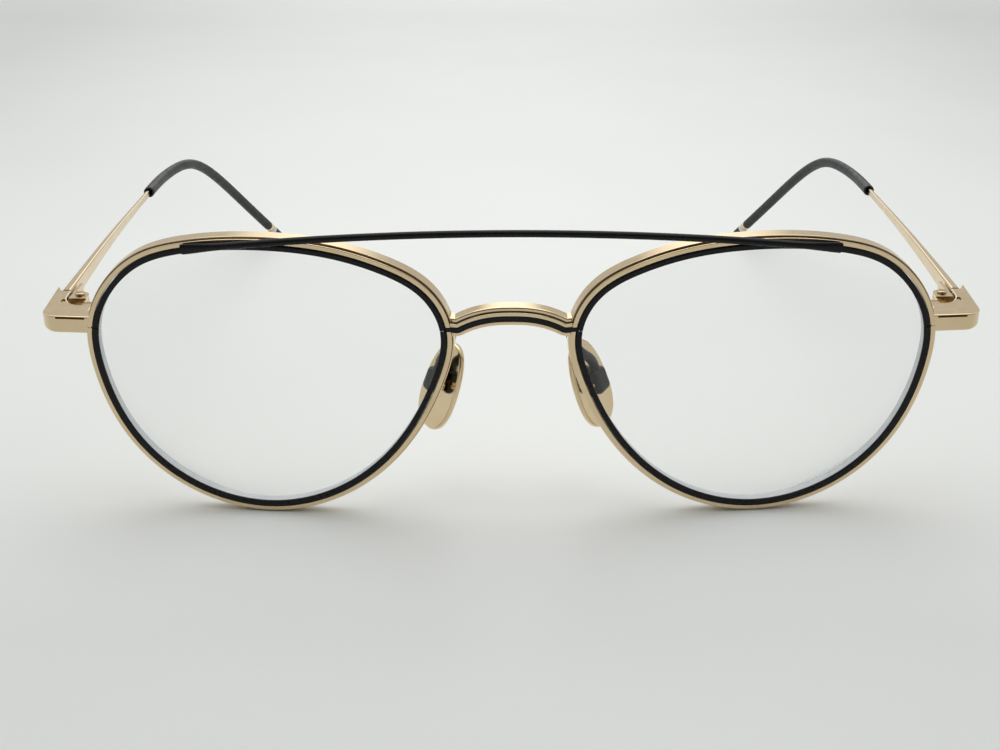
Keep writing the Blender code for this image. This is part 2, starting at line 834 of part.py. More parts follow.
def endpiece_front_depth():
    return -rim_face(ENDPIECE_RISE_FROM_LENS, 1, RIM_OUTER).z


def rim_side_across():
    """Where the rim's outer side is at the endpiece's height, in the front frame."""
    return rim_face(ENDPIECE_RISE_FROM_LENS, 1, RIM_OUTER).x


def front_half_width():
    return rim_side_across() + ENDPIECE_REACH


def endpiece_plan():
    """The endpiece seen from above, as across and depth, from the rim outwards."""
    root = rim_side_across() - RIM_OUTER
    front_edge = endpiece_front_depth()
    outer = front_half_width()
    turn = front_edge + ENDPIECE_SWEEP
    centre = (outer - ENDPIECE_CORNER, turn + ENDPIECE_CORNER)
    back = front_edge + ENDPIECE_LENGTH
    inner = endpiece_inner_across()
    bar_back = front_edge + ENDPIECE_BAR
    plan = [(root, front_edge)]
    for i in range(CORNER_STEPS + 1):
        angle = math.radians(90.0) * i / CORNER_STEPS
        x = centre[0] + ENDPIECE_CORNER * math.sin(angle)
        plan.append((x, centre[1] - ENDPIECE_CORNER * math.cos(angle)))
    rear = outer + ENDPIECE_FLARE
    plan.append((rear, back))
    plan.append((rear - MITRE_WIDTH, back - MITRE_LENGTH))
    plan.append((inner, back - MITRE_LENGTH))
    plan.append((inner, bar_back + ENDPIECE_FILLET_LENGTH))
    plan.append((inner - ENDPIECE_FILLET_WIDTH, bar_back))
    plan.append((rim_side_across(), bar_back))
    plan.append((rim_side_across(), front_edge + RIM_DEPTH))
    plan.append((root, front_edge + RIM_DEPTH))
    return plan


def endpiece_inner_across():
    return front_half_width() + ENDPIECE_FLARE - ENDPIECE_WALL


def round_cheek(piece, centre_up):
    """Lift the lower edge along the outer side, more the further out it is."""
    start = front_half_width() - ENDPIECE_CORNER
    for vertex in piece.data.vertices:
        below = np.clip((centre_up - vertex.co.y) * 2.0 / ENDPIECE_HEIGHT, 0.0, 1.0)
        out = np.clip((vertex.co.x - start) / ENDPIECE_CORNER, 0.0, 1.0)
        vertex.co.y += ENDPIECE_CHEEK * below * out * out


def build_endpiece(coper):
    plan = [(x, -depth) for x, depth in endpiece_plan()]
    piece = flat_plate("endpiece_right", plan, ENDPIECE_HEIGHT, front)
    piece.data.transform(Matrix.Rotation(math.radians(90.0), 4, "X"))
    centre_up = LENS_CENTRE_UP + ENDPIECE_RISE_FROM_LENS
    piece.data.transform(Matrix.Translation((0.0, centre_up, 0.0)))
    piece = rounded_edges(piece, ENDPIECE_ROUNDING, segments=2)
    round_cheek(piece, centre_up)
    piece = cut(piece, coper, keep_cutter=True)
    top = centre_up + ENDPIECE_HEIGHT / 2.0
    start = rim_side_across() + SEAM
    depth = endpiece_front_depth()
    slit = block(
        "slit",
        (start, top - ENDPIECE_SLIT_DROP - ENDPIECE_SLIT_HEIGHT, -depth - ENDPIECE_SLIT_DEPTH),
        (start + ENDPIECE_SLIT_LENGTH, top - ENDPIECE_SLIT_DROP, CUT_OVERRUN - depth),
        front,
    )
    piece = cut(piece, slit)
    across = endpiece_inner_across() + DIMPLE_WIDTH / 4.0
    dimple = rod("dimple", (0.0, 0.0, 0.0), DIMPLE_WIDTH / 2.0, 2.0 * DIMPLE_DEPTH, front)
    stretched = Matrix.Diagonal((1.0, DIMPLE_LENGTH / DIMPLE_WIDTH, 1.0, 1.0))
    turned_out = Matrix.Rotation(math.atan2(ENDPIECE_FILLET_WIDTH, ENDPIECE_LENGTH), 4, "Z")
    upright = Matrix.Rotation(math.radians(90.0), 4, "X")
    dimple.data.transform(upright @ turned_out @ stretched)
    dimple_back = depth + ENDPIECE_BAR + ENDPIECE_FILLET_LENGTH / 2.0
    dimple.data.transform(Matrix.Translation((across, top, -dimple_back)))
    return cut(piece, dimple)


def build_rim_lock():
    """Two small elbows at the rim's slit, and the screw that draws them together."""
    side = rim_side_across()
    back = endpiece_front_depth() + RIM_DEPTH + SEAT_GAP
    bar_back = endpiece_front_depth() + ENDPIECE_BAR + SEAT_GAP
    foot_outer = side - SEAT_GAP
    split = LENS_CENTRE_UP + TEMPORAL_SPLIT_RISE
    half_gap = RIM_SLIT / 2.0
    centre = (foot_outer + LOCK_WIDTH / 2.0, split, -bar_back - LOCK_DEPTH / 2.0)
    upright = Matrix.Rotation(math.radians(-90.0), 4, "X")
    halves = []
    for name, low, high in (
        ("rim_lock_upper_right", half_gap, half_gap + LOCK_HEIGHT),
        ("rim_lock_lower_right", -half_gap - LOCK_HEIGHT, -half_gap),
    ):
        plan = [
            (foot_outer - LOCK_FOOT, -back),
            (foot_outer, -back),
            (foot_outer, -bar_back),
            (foot_outer + LOCK_WIDTH, -bar_back),
            (foot_outer + LOCK_WIDTH, -bar_back - LOCK_DEPTH),
            (foot_outer, -bar_back - LOCK_DEPTH),
        ]
        half = flat_plate(name, plan, high - low, front)
        half.data.transform(Matrix.Rotation(math.radians(90.0), 4, "X"))
        half.data.transform(Matrix.Translation((0.0, split + (low + high) / 2.0, 0.0)))
        half = rounded_edges(half, RIM_ROUNDING)
        bore = rod("bore", (0.0, 0.0, 0.0), LOCK_SCREW_RADIUS + RUNNING_GAP, 4.0 * LOCK_HEIGHT, front)
        bore.data.transform(Matrix.Translation(centre) @ upright)
        halves.append(cut(half, bore))
    length = LOCK_HEIGHT + half_gap + RUNNING_GAP + LOCK_HEIGHT / 2.0
    screw = screw_shape("rim_lock_screw_right", LOCK_SCREW_RADIUS, length, LOCK_HEAD_RADIUS, front)
    head_up = split + half_gap + LOCK_HEIGHT + RUNNING_GAP
    screw.data.transform(Matrix.Translation((centre[0], head_up, centre[2])) @ upright)
    return *halves, screw


# Hinges and temples, in the frame of the hinge axis

def hinge_place():
    """The right-hand hinge axis in the standing frame, at the endpiece's mid height."""
    across = endpiece_inner_across() - SEAT_GAP - BARREL_RADIUS
    up = LENS_CENTRE_UP + ENDPIECE_RISE_FROM_LENS
    depth = endpiece_front_depth() + ENDPIECE_LENGTH - MITRE_LENGTH - HINGE_SETBACK
    return front.matrix_local @ Vector((across, up, -depth))


def arm_offset_across():
    """From the hinge axis out to the arm's middle."""
    wall_outer = ENDPIECE_WALL + SEAT_GAP + BARREL_RADIUS
    return wall_outer - ARM_STEP_IN - ARM_THICKNESS / 2.0


def lowest(item):
    bpy.context.view_layer.update()
    return min((item.matrix_world @ vertex.co).z for vertex in item.data.vertices)


def temple_line(rest_level):
    """The middle line of the temple, from its front end to the tip's end on the table."""
    drop = hinge_place().z - rest_level - SLEEVE_RADIUS
    start = np.array([arm_offset_across(), HINGE_SETBACK + BUTT_GAP, 0.0])
    sizes = np.array([TEMPLE_REACH, TEMPLE_TOE_IN, drop])
    anchors = []
    for along, inwards, down in np.array(ROUTE_SHARES) * sizes:
        anchors.append(start + np.array([-inwards, along, -down]))
    return smooth_line(anchors, 10 * ARM_COUNT)


def along_line(line, distance):
    """A matrix at a distance along the line, with its z axis towards the tip."""
    walked = stretch(line, distance - SLEEVE_RADIUS, distance + SLEEVE_RADIUS, 3)
    direction = Vector(walked[2] - walked[0]).normalized()
    turn = direction.to_track_quat("Z", "Y").to_matrix().to_4x4()
    return Matrix.Translation(Vector(walked[1])) @ turn


def build_temple_arm(line):
    total = line_length(line)
    core_end = total - CAP_LENGTH - SLEEVE_RADIUS + CAP_BORE_DEPTH / 2.0
    exposed = stretch(line, 0.0, ARM_EXPOSED - ARM_HEIGHT, ARM_COUNT // 2)
    core = stretch(line, ARM_EXPOSED, core_end, ARM_COUNT)
    left = [1.0 - i / (len(exposed) - 1) for i in range(len(exposed))]
    shares = [ARM_END_SHARE + (1.0 - ARM_END_SHARE) * way**ARM_TAPER_POWER for way in left]
    shares += [CORE_SHARE] * len(core)
    section = rounded_section(ARM_THICKNESS, ARM_HEIGHT, ARM_ROUNDING)
    route = np.concatenate((exposed, core))
    return swept("temple_arm_right", route, section, False, temple_right, scales=shares)


def build_sleeve(line):
    end = line_length(line) - TIP_STACK
    sleeve = wire(
        "tip_sleeve_right", stretch(line, ARM_EXPOSED, end, SLEEVE_COUNT), SLEEVE_RADIUS, temple_right,
        sides_level=3,
    )
    bore_line = stretch(line, ARM_EXPOSED - CUT_OVERRUN, end + CUT_OVERRUN, SLEEVE_COUNT)
    bore = wire("bore", bore_line, SLEEVE_BORE, temple_right, sides_level=1)
    return cut(sleeve, bore)


def build_tip(line):
    """The collar, the band and the round cap, threaded on the arm's core."""
    total = line_length(line)
    pieces = []
    start = total - TIP_STACK + SEAM
    for name, length in (("tip_collar_right", COLLAR_LENGTH), ("tip_band_right", BAND_LENGTH)):
        profile = (
            (SLEEVE_BORE, length),
            (SLEEVE_RADIUS - SEAM, length),
            (SLEEVE_RADIUS, length - SEAM),
            (SLEEVE_RADIUS, SEAM),
            (SLEEVE_RADIUS - SEAM, 0.0),
            (SLEEVE_BORE, 0.0),
            (SLEEVE_BORE, length),
        )
        piece = turned(name, profile, temple_right)
        piece.data.transform(along_line(line, start))
        pieces.append(piece)
        start += length + SEAM
    cap_length = total - start
    profile = [(0.0, cap_length + SLEEVE_RADIUS)]
    for i in range(1, CORNER_STEPS + 1):
        angle = math.radians(90.0) * i / CORNER_STEPS
        profile.append((SLEEVE_RADIUS * math.sin(angle), cap_length + SLEEVE_RADIUS * math.cos(angle)))
    profile += [
        (SLEEVE_RADIUS, SEAM),
        (SLEEVE_RADIUS - SEAM, 0.0),
        (SLEEVE_BORE, 0.0),
        (SLEEVE_BORE, CAP_BORE_DEPTH),
        (0.0, CAP_BORE_DEPTH),
    ]
    cap = turned("tip_cap_right", profile, temple_right)
    cap.data.transform(along_line(line, start))
    return [*pieces, cap]


def knuckle(name, low, parent):
    return rod(name, (0.0, 0.0, low + KNUCKLE_HEIGHT / 2.0), BARREL_RADIUS, KNUCKLE_HEIGHT, parent)


def bored(item, parent):
    return cut(item, rod("bore", (0.0, 0.0, 0.0), SCREW_BORE, 2.0 * BARREL_STACK, parent))


def build_front_leaf(parent):
    """The plate across the endpiece's opening, with the upper and the lower knuckle."""
    bottom = -BARREL_STACK / 2.0
    levels = (bottom, bottom + 2.0 * (KNUCKLE_HEIGHT + RUNNING_GAP))
    clear = BARREL_RADIUS + RUNNING_GAP
    leaf = block(
        "hinge_leaf_front_right",
        (-BARREL_RADIUS, -clear - PLATE_THICKNESS, -LEAF_HEIGHT / 2.0),
        (BARREL_RADIUS, -clear, LEAF_HEIGHT / 2.0),
        parent,
    )
    for level in levels:
        web = block(
            "web",
            (-BARREL_RADIUS, -clear - PLATE_THICKNESS / 2.0, level),
            (BARREL_RADIUS, 0.0, level + KNUCKLE_HEIGHT),
            parent,
        )
        leaf = join(leaf, join(web, knuckle("knuckle", level, parent)))
    return bored(leaf, parent)


def build_temple_leaf():
    """The leaf on the arm's inner side, with the middle knuckle."""
    arm_inner = arm_offset_across() - ARM_THICKNESS / 2.0
    outer = arm_inner - SEAT_GAP
    level = -KNUCKLE_HEIGHT / 2.0
    leaf = block(
        "hinge_leaf_temple_right",
        (outer - LEAF_THICKNESS, HINGE_SETBACK + BUTT_GAP, -LEAF_HEIGHT / 2.0),
        (outer, HINGE_SETBACK + BUTT_GAP + LEAF_LENGTH, LEAF_HEIGHT / 2.0),
        temple_right,
    )
    web = block(
        "web",
        (0.0, BUTT_GAP / 2.0, level),
        (BARREL_RADIUS, HINGE_SETBACK + 2.0 * BUTT_GAP, level + KNUCKLE_HEIGHT),
        temple_right,
    )
    leaf = join(leaf, join(web, knuckle("knuckle", level, temple_right)))
    return bored(leaf, temple_right)


def build_hinge_screw(parent):
    length = BARREL_STACK + RUNNING_GAP
    screw = screw_shape("hinge_screw_right", HINGE_SCREW_RADIUS, length, HINGE_HEAD_RADIUS, parent)
    screw.data.transform(Matrix.Translation((0.0, 0.0, BARREL_STACK / 2.0 + RUNNING_GAP)))
    return screw


# Nose pads, in the frame of the pad's rocking screw

def pad_outline():
    """An egg shape across the pad's width and along its length."""
    points = []
    for i in range(PAD_COUNT):
        angle = 2.0 * math.pi * i / PAD_COUNT
        along = math.sin(angle)
        across = math.cos(angle)
        squared = math.copysign(abs(along) ** PAD_END_FULLNESS, along)
        bulged = math.copysign(abs(across) ** PAD_SIDE_FULLNESS, across)
        width = PAD_WIDTH * (1.0 - PAD_TAPER_SHARE * squared)
        points.append((bulged * width / 2.0, squared * PAD_LENGTH / 2.0))
    return points


def build_pad():
    """The metal pad with the lug on its back that the box holds."""
    plate = flat_plate("nose_pad_right", pad_outline(), PAD_THICKNESS, pad_right)
    plate = rounded_edges(plate, PAD_ROUNDING, segments=2)
    plate.data.transform(Matrix.Rotation(math.radians(-90.0), 4, "Y"))
    back = -PAD_STANDOFF
    plate.data.transform(Matrix.Translation((back - PAD_THICKNESS / 2.0, -PAD_DROP, 0.0)))
    lug = block(
        "lug",
        (back - PAD_THICKNESS / 2.0, -STUD_LENGTH / 2.0, -STUD_WIDTH / 2.0),
        (STUD_PAST_PIVOT, STUD_LENGTH / 2.0, STUD_WIDTH / 2.0),
        pad_right,
    )
    bore = rod("bore", (0.0, 0.0, 0.0), PAD_SCREW_RADIUS + RUNNING_GAP, 2.0 * STUD_WIDTH, pad_right,
               steps=SCREW_STEPS)
    return cut(join(plate, lug), bore)


def build_pad_box():
    """The box on the end of the pad arm, open towards the pad."""
    box = block(
        "pad_box_right",
        (-BOX_MOUTH, -BOX_LENGTH / 2.0, -BOX_WIDTH / 2.0),
        (BOX_DEPTH - BOX_MOUTH, BOX_LENGTH / 2.0, BOX_WIDTH / 2.0),
        pad_right,
    )
    box = rounded_edges(box, BOX_ROUNDING, segments=2)
    room = block(
        "room",
        (-BOX_MOUTH - CUT_OVERRUN, BOX_WALL - BOX_LENGTH / 2.0, BOX_WALL - BOX_WIDTH / 2.0),
        (BOX_DEPTH - BOX_MOUTH - BOX_WALL / 2.0, BOX_LENGTH / 2.0 - BOX_WALL, BOX_WIDTH / 2.0 - BOX_WALL),
        pad_right,
    )
    box = cut(box, room)
    bore = rod("bore", (0.0, 0.0, 0.0), PAD_SCREW_RADIUS + RUNNING_GAP, 2.0 * BOX_WIDTH, pad_right,
               steps=SCREW_STEPS)
    return cut(box, bore)


def build_pad_screw():
    length = BOX_WIDTH + RUNNING_GAP
    screw = screw_shape("pad_screw_right", PAD_SCREW_RADIUS, length, PAD_SCREW_HEAD_RADIUS, pad_right)
    screw.data.transform(Matrix.Translation((0.0, 0.0, BOX_WIDTH / 2.0 + RUNNING_GAP)))
    return screw


def build_pad_arm(name, pad_matrix):
    """The bent wire from the rim's back, beside the nose, to the top of the box."""
    start_up = BRIDGE_RISE_FROM_LENS - BRIDGE_HEIGHT
    middle = (RIM_INNER + RIM_OUTER) / 2.0
    start = rim_face(start_up, -1, middle)
    start.z -= RIM_DEPTH + SEAT_GAP
    box_top = BOX_LENGTH / 2.0 + SEAT_GAP
    box_middle = BOX_DEPTH / 2.0 - BOX_MOUTH
    end = pad_matrix @ Vector((box_middle, box_top, 0.0))
    over = pad_matrix @ Vector((box_middle, box_top + PAD_ARM_RADIUS, 0.0))
    way = over - start
    anchors = []
    for across, down, back in PAD_ARM_SHARES:
        anchors.append((start.x + way.x * across, start.y + way.y * down, start.z + way.z * back))
    anchors.append(end)
    return wire(name, smooth_line(anchors, PAD_ARM_COUNT), PAD_ARM_RADIUS, front)


# Build

clear_scene()
parts = new_collection("aviator_eyeglasses")
guides = new_collection("guides")

gold = new_material("champagne_gold", (0.80, 0.66, 0.47), 0.22, 1.0)
black = new_material("black_enamel", (0.012, 0.014, 0.015), 0.35, 0.0)
matte_black = new_material("matte_black_tip", (0.02, 0.022, 0.022), 0.6, 0.0)
clear = new_material("clear_lens", (0.94, 0.96, 0.97), 0.02, 0.0)
pale = new_material("pale_band", (0.72, 0.71, 0.68), 0.35, 0.0)

front_turn = Matrix.Rotation(math.radians(90.0) + FRONT_LEAN, 4, "X")
glasses = new_frame("glasses", None, Matrix.Identity(4))
front = new_frame("front", glasses, front_turn)
eye_right = new_frame("eye_right", front, eye_matrix())
eye_left = new_frame("eye_left", front, MIRROR @ eye_matrix() @ MIRROR)
temple_right = new_frame("temple_hinge_right", glasses, Matrix.Translation(hinge_place()))
temple_left = new_frame("temple_hinge_left", glasses, MIRROR @ temple_right.matrix_local @ MIRROR)
pad_turn = Matrix.Rotation(PAD_TILT, 4, "Z") @ Matrix.Rotation(-PAD_SPLAY, 4, "Y")
pad_place = Vector((PAD_PIVOT_ACROSS, LENS_CENTRE_UP - PAD_PIVOT_BELOW_LENS, -PAD_PIVOT_BACK))
pad_matrix_right = Matrix.Translation(pad_place) @ pad_turn
pad_matrix_left = Matrix.Translation((-PAD_BEND_LEFT, 0.0, 0.0)) @ pad_matrix_right
pad_right = new_frame("pad_rock_right", front, pad_matrix_right)
pad_left = new_frame("pad_rock_left", front, MIRROR @ pad_matrix_left @ MIRROR)

rim_coper_right = rim_coper()
rim_coper_left = mirrored(rim_coper_right, "rim_left_coper", eye_left)
ring_coper_right = outline_prism("ring_right", RING_OUTER + SOLDER_SEAM, eye_right)
ring_coper_left = mirrored(ring_coper_right, "ring_left", eye_left)

centre_pieces = [
    (build_bridge((rim_coper_right, rim_coper_left)), gold),
    (build_inlay((ring_coper_right, ring_coper_left)), black),
    (build_brow_bar(), black),
]
for piece, finish_material in centre_pieces:
    finish(piece, finish_material)

inlay_room = swept(
    "inlay_room", bridge_line(bridge_reach()), inlay_section(SOLDER_SEAM), False, front
)
rim = cut(build_rim(), inlay_room)
rings = build_rings()
lens = build_lens()
lock_upper, lock_lower, lock_screw = build_rim_lock()
route = temple_line(lowest(rim))
tip_pieces = build_tip(route)

sided_pieces = [
    (rim, gold, eye_left),
    (rings[0], black, eye_left),
    (rings[1], black, eye_left),
    (lens, clear, eye_left),
    (build_endpiece(rim_coper_right), gold, front),
    (lock_upper, gold, front),
    (lock_lower, gold, front),
    (lock_screw, gold, front),
    (build_pad(), gold, pad_left),
    (build_pad_box(), black, pad_left),
    (build_pad_screw(), gold, pad_left),
    (build_front_leaf(temple_right), gold, temple_left),
    (build_hinge_screw(temple_right), gold, temple_left),
    (build_temple_leaf(), gold, temple_left),
    (build_temple_arm(route), gold, temple_left),
    (build_sleeve(route), matte_black, temple_left),
    (tip_pieces[0], gold, temple_left),
    (tip_pieces[1], pale, temple_left),
    (tip_pieces[2], matte_black, temple_left),
]
for piece, finish_material, left_frame in sided_pieces:
    finish(piece, finish_material)
    twin = mirrored(piece, piece.name.replace("_right", "_left"), left_frame)
    shade(twin)

finish(build_pad_arm("pad_arm_right", pad_matrix_right), black)
bent_arm = finish(build_pad_arm("bent_arm", pad_matrix_left), black)
shade(mirrored(bent_arm, "pad_arm_left", front))

for cutter in (bent_arm, ring_coper_right, ring_coper_left, rim_coper_right, rim_coper_left):
    bpy.data.objects.remove(cutter, do_unlink=True)


def stand_on_origin():
    """Move the whole so that its footprint's middle is the origin and it rests on Z = 0."""
    bpy.context.view_layer.update()
    corners = []
    for item in parts.objects:
        if item.type == "MESH":
            corners += [item.matrix_world @ vertex.co for vertex in item.data.vertices]
    ys = [corner.y for corner in corners]
    ground = min(corner.z for corner in corners)
    glasses.location = (0.0, -(min(ys) + max(ys)) / 2.0, -ground)
    bpy.context.view_layer.update()


stand_on_origin()
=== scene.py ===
"""Dresses the aviator eyeglasses: fine metalwork, finishes, table, lights and camera.

Metres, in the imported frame: +X to the viewer's right, +Y towards the temple tips, +Z up.
The front's pieces are shaped in the front's own frame, x across, y up the lens plane and
z forwards. Every sided piece is made at +X and mirrored.
"""

import json
import math

import bmesh
import bpy
import numpy as np
from mathutils import Matrix, Vector


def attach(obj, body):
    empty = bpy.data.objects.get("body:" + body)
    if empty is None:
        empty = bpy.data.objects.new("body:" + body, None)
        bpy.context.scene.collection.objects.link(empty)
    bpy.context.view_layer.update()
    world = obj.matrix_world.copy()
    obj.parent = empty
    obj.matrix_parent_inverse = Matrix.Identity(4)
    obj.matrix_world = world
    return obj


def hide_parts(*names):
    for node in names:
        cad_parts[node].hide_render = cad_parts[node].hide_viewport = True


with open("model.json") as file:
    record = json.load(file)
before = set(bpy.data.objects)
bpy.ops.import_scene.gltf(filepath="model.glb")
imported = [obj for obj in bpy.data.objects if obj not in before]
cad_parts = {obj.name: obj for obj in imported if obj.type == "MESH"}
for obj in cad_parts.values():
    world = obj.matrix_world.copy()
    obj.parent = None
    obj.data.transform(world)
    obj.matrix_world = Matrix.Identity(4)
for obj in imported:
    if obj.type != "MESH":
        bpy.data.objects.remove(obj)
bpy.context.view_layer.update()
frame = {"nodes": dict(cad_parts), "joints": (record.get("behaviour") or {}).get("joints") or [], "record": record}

MM = 0.001

# Camera, fitted to the photograph
FOCAL_PIXELS = 1544.95
FRAME_PIXELS = 1000.0
SENSOR = 36.0
CAMERA_PITCH = 0.3833
CAMERA_YAW = -0.0019
CAMERA_ROLL = -0.0030
CAMERA_BACK = 209.05 * MM
CAMERA_UP = 107.32 * MM
CAMERA_ACROSS = -1.635 * MM

# Where the front's own frame stands
FRONT_BACK = -70.6869 * MM
FRONT_UP = -0.1012 * MM
FRONT_LEAN = math.radians(4.0)

# Lenses
LENS_WIDTH = 51.0 * MM
LENS_HEIGHT = 41.5 * MM
LENS_SPACING = 20.0 * MM
LENS_CURVE_RADIUS = 132.0 * MM
FACE_FORM = math.radians(4.5)
LENS_FRONT = 0.45 * MM
LENS_BACK = 1.65 * MM
LENS_WALL_BACK = 1.9 * MM
LENS_WALL_IN = 0.3 * MM
LENS_RINGS = 12
EDGE_COUNT = 288

# Black inner rings
RING_INNER = -0.42 * MM
RING_OUTER = 0.44 * MM
RING_PROUD = 0.06 * MM
RING_DEPTH = 2.05 * MM
RING_LIP = 0.3 * MM
RING_BACK_LIP = 1.8 * MM
RING_BACK_IN = -0.2 * MM
RING_GROOVE = 0.2 * MM
RING_SOFT = 0.2 * MM
RING_EDGE = 0.04 * MM
RING_GAP = 0.2 * MM
TEMPORAL_SPLIT = 7.1 * MM
NASAL_SPLIT = 8.2 * MM

# Gold rims
RIM_INNER = 0.54 * MM
RIM_FACE = 1.22 * MM
RIM_OUTER = 1.48 * MM
RIM_DEPTH = 2.7 * MM
RIM_SLIT = 0.25 * MM
RIM_SOFT = 0.1 * MM
RIM_BODY_SOFT = 0.16 * MM
GROOVE_DEPTH = 0.3 * MM
GROOVE_FRONT = 0.32 * MM
GROOVE_BACK = 0.6 * MM
GROOVE_SOFT = 0.05 * MM
GROOVE_SHADE = 0.15 * MM

# Bridge and its inlay
BRIDGE_RISE = 8.8 * MM
BRIDGE_ARCH = 2.05 * MM
BRIDGE_ARCH_POWER = 2.4
BRIDGE_LEVEL_END = 0.8 * MM
BRIDGE_HEIGHT = 2.5 * MM
BRIDGE_DEPTH = 2.8 * MM
BRIDGE_BOW = 0.8 * MM
BRIDGE_SOFT = 0.4 * MM
BRIDGE_BODY_SOFT = 0.55 * MM
BAND_HEIGHT = 0.5 * MM
INLAY_LOW = 0.55 * MM
INLAY_HEIGHT = 0.74 * MM
INLAY_DEPTH = 0.5 * MM
INLAY_SOFT = 0.1 * MM
SEAM = 0.1 * MM
SOLDER_SEAM = 0.05 * MM
BRIDGE_COUNT = 97

# Brow bar
BAR_DIAMETER = 1.05 * MM
BAR_HALF_LENGTH = 46.6 * MM
BAR_ABOVE_LENS = 2.67 * MM
BAR_SAG = 3.1 * MM
BAR_FLAT_LENGTH = 7.0 * MM
BAR_FLAT_THICKNESS = 0.7 * MM
BAR_END_ROUND = 0.28 * MM
BAR_COUNT = 161
BAR_SIDES = 28
BAR_END_STEPS = 9

# Endpieces
ENDPIECE_RISE = 7.5 * MM
ENDPIECE_REACH = 6.8 * MM
ENDPIECE_HEIGHT = 2.6 * MM
ENDPIECE_BAR = 4.6 * MM
ENDPIECE_WALL = 2.35 * MM
ENDPIECE_LENGTH = 11.9 * MM
ENDPIECE_CORNER = 2.4 * MM
ENDPIECE_CHEEK = 0.6 * MM
ENDPIECE_FLARE = 0.05 * MM
ENDPIECE_SWEEP = 0.6 * MM
FILLET_WIDTH = 1.3 * MM
FILLET_LENGTH = 2.4 * MM
ENDPIECE_SOFT = 0.2 * MM
MITRE_WIDTH = 0.95 * MM
MITRE_LENGTH = 1.75 * MM
MITRE_POINT = 0.4 * MM
SLIT_HEIGHT = 0.28 * MM
SLIT_DEPTH = 1.6 * MM
SLIT_DROP = 0.15 * MM
SLIT_LENGTH = 4.4 * MM
DIMPLE_WIDTH = 0.7 * MM
DIMPLE_LENGTH = 2.0 * MM
DIMPLE_DEPTH = 0.2 * MM
OVERRUN = 1.0 * MM

# Hinges
BARREL_RADIUS = 1.3 * MM
KNUCKLE_HEIGHT = 0.6 * MM
RUNNING_GAP = 0.1 * MM
PLATE_THICKNESS = 0.8 * MM
LEAF_HEIGHT = 1.6 * MM
LEAF_SOFT = 0.06 * MM
HINGE_SETBACK = 1.0 * MM
BUTT_GAP = 0.3 * MM
SEAT_GAP = 0.15 * MM
SCREW_RADIUS = 0.4 * MM
SCREW_HEAD_RADIUS = 0.75 * MM
SCREW_HEAD_HEIGHT = 0.28 * MM
SCREW_SLOT_WIDTH = 0.2 * MM
SCREW_SLOT_DEPTH = 0.16 * MM
BARREL_STACK = 3.0 * KNUCKLE_HEIGHT + 2.0 * RUNNING_GAP

# Temples
TEMPLE_REACH = 131.0 * MM
TEMPLE_TOE_IN = 12.8 * MM
ARM_HEIGHT = 2.65 * MM
ARM_THICKNESS = 1.4 * MM
ARM_SOFT = 0.38 * MM
ARM_STEP_IN = 0.75 * MM
ARM_EXPOSED = 65.9 * MM
ARM_END_SHARE = 0.45
ARM_TAPER_POWER = 1.6
CORE_SHARE = 0.34
SLEEVE_RADIUS = 1.0 * MM
SLEEVE_BORE = 0.68 * MM
SLEEVE_SOFT = 0.12 * MM
COLLAR_LENGTH = 0.9 * MM
BAND_LENGTH = 1.3 * MM
CAP_LENGTH = 2.4 * MM
CAP_BORE_DEPTH = 1.0 * MM
ARM_COUNT = 110
SLEEVE_COUNT = 120
SLEEVE_END_STEPS = 5
ROUND_STEPS = 40

# From the hinge axis out to the middle of the temple arm
ARM_ACROSS = ENDPIECE_WALL + SEAT_GAP + BARREL_RADIUS - ARM_STEP_IN - ARM_THICKNESS / 2.0

# Nose pads, in the frame of the screw that each rocks on
PAD_LENGTH = 14.6 * MM
PAD_WIDTH = 7.6 * MM
PAD_THICKNESS = 1.0 * MM
PAD_SOFT = 0.34 * MM
PAD_DROP = 0.6 * MM
PAD_SPLAY = math.radians(38.0)
PAD_TILT = math.radians(19.0)
PAD_PIVOT_ACROSS = 13.2 * MM
PAD_PIVOT_BELOW = 3.7 * MM
PAD_PIVOT_BACK = 9.2 * MM
PAD_BEND_LEFT = 1.7 * MM
PAD_SLIP_LEFT = 0.4 * MM
PAD_STANDOFF = 1.25 * MM
PAD_TAPER_SHARE = 0.12
PAD_END_FULLNESS = 0.9
PAD_SIDE_FULLNESS = 0.8
PAD_COUNT = 96
STUD_WIDTH = 1.3 * MM
STUD_LENGTH = 2.0 * MM
STUD_PAST = 0.55 * MM
BOX_LENGTH = 4.0 * MM
BOX_WIDTH = 3.2 * MM
BOX_SOFT = 0.9 * MM
BOX_WALL = 0.5 * MM
BOX_DEPTH = 1.9 * MM
BOX_MOUTH = 0.75 * MM
PAD_ARM_RADIUS = 0.75 * MM
PAD_ARM_COUNT = 70

# Fineness of lines and edges
LINE_STEPS = 2000
ROUTE_COUNT = 600
WIRE_SIDES = 24
WELD_REACH = 0.001 * MM
QUARTER = math.radians(90.0)
SOFT_ANGLE = math.radians(35.0)
CORNER_ANGLE = math.radians(50.0)
SHARP_ANGLE = math.radians(32.0)

# Table, with painted light and shade on its paper, as tones by their distance in metres from the middle of the
# glasses
TABLE_REACH = 3.0
TABLE_START = -0.2
TABLE_END = 0.8
TABLE_SHADE_TONES = (
    (-0.20, 0.70),
    (-0.105, 0.70),
    (-0.052, 0.83),
    (0.06, 0.87),
    (0.40, 0.77),
)
TABLE_TINT = (0.99, 1.01, 0.985)
# Painted shade towards the table's sides: two levels, and where the change starts and ends, over the distance
# across squared
TABLE_SIDE_SHADE = (1.0, 0.82, 0.0, 0.036)
TABLE_MOTTLE = (0.99, 1.01)

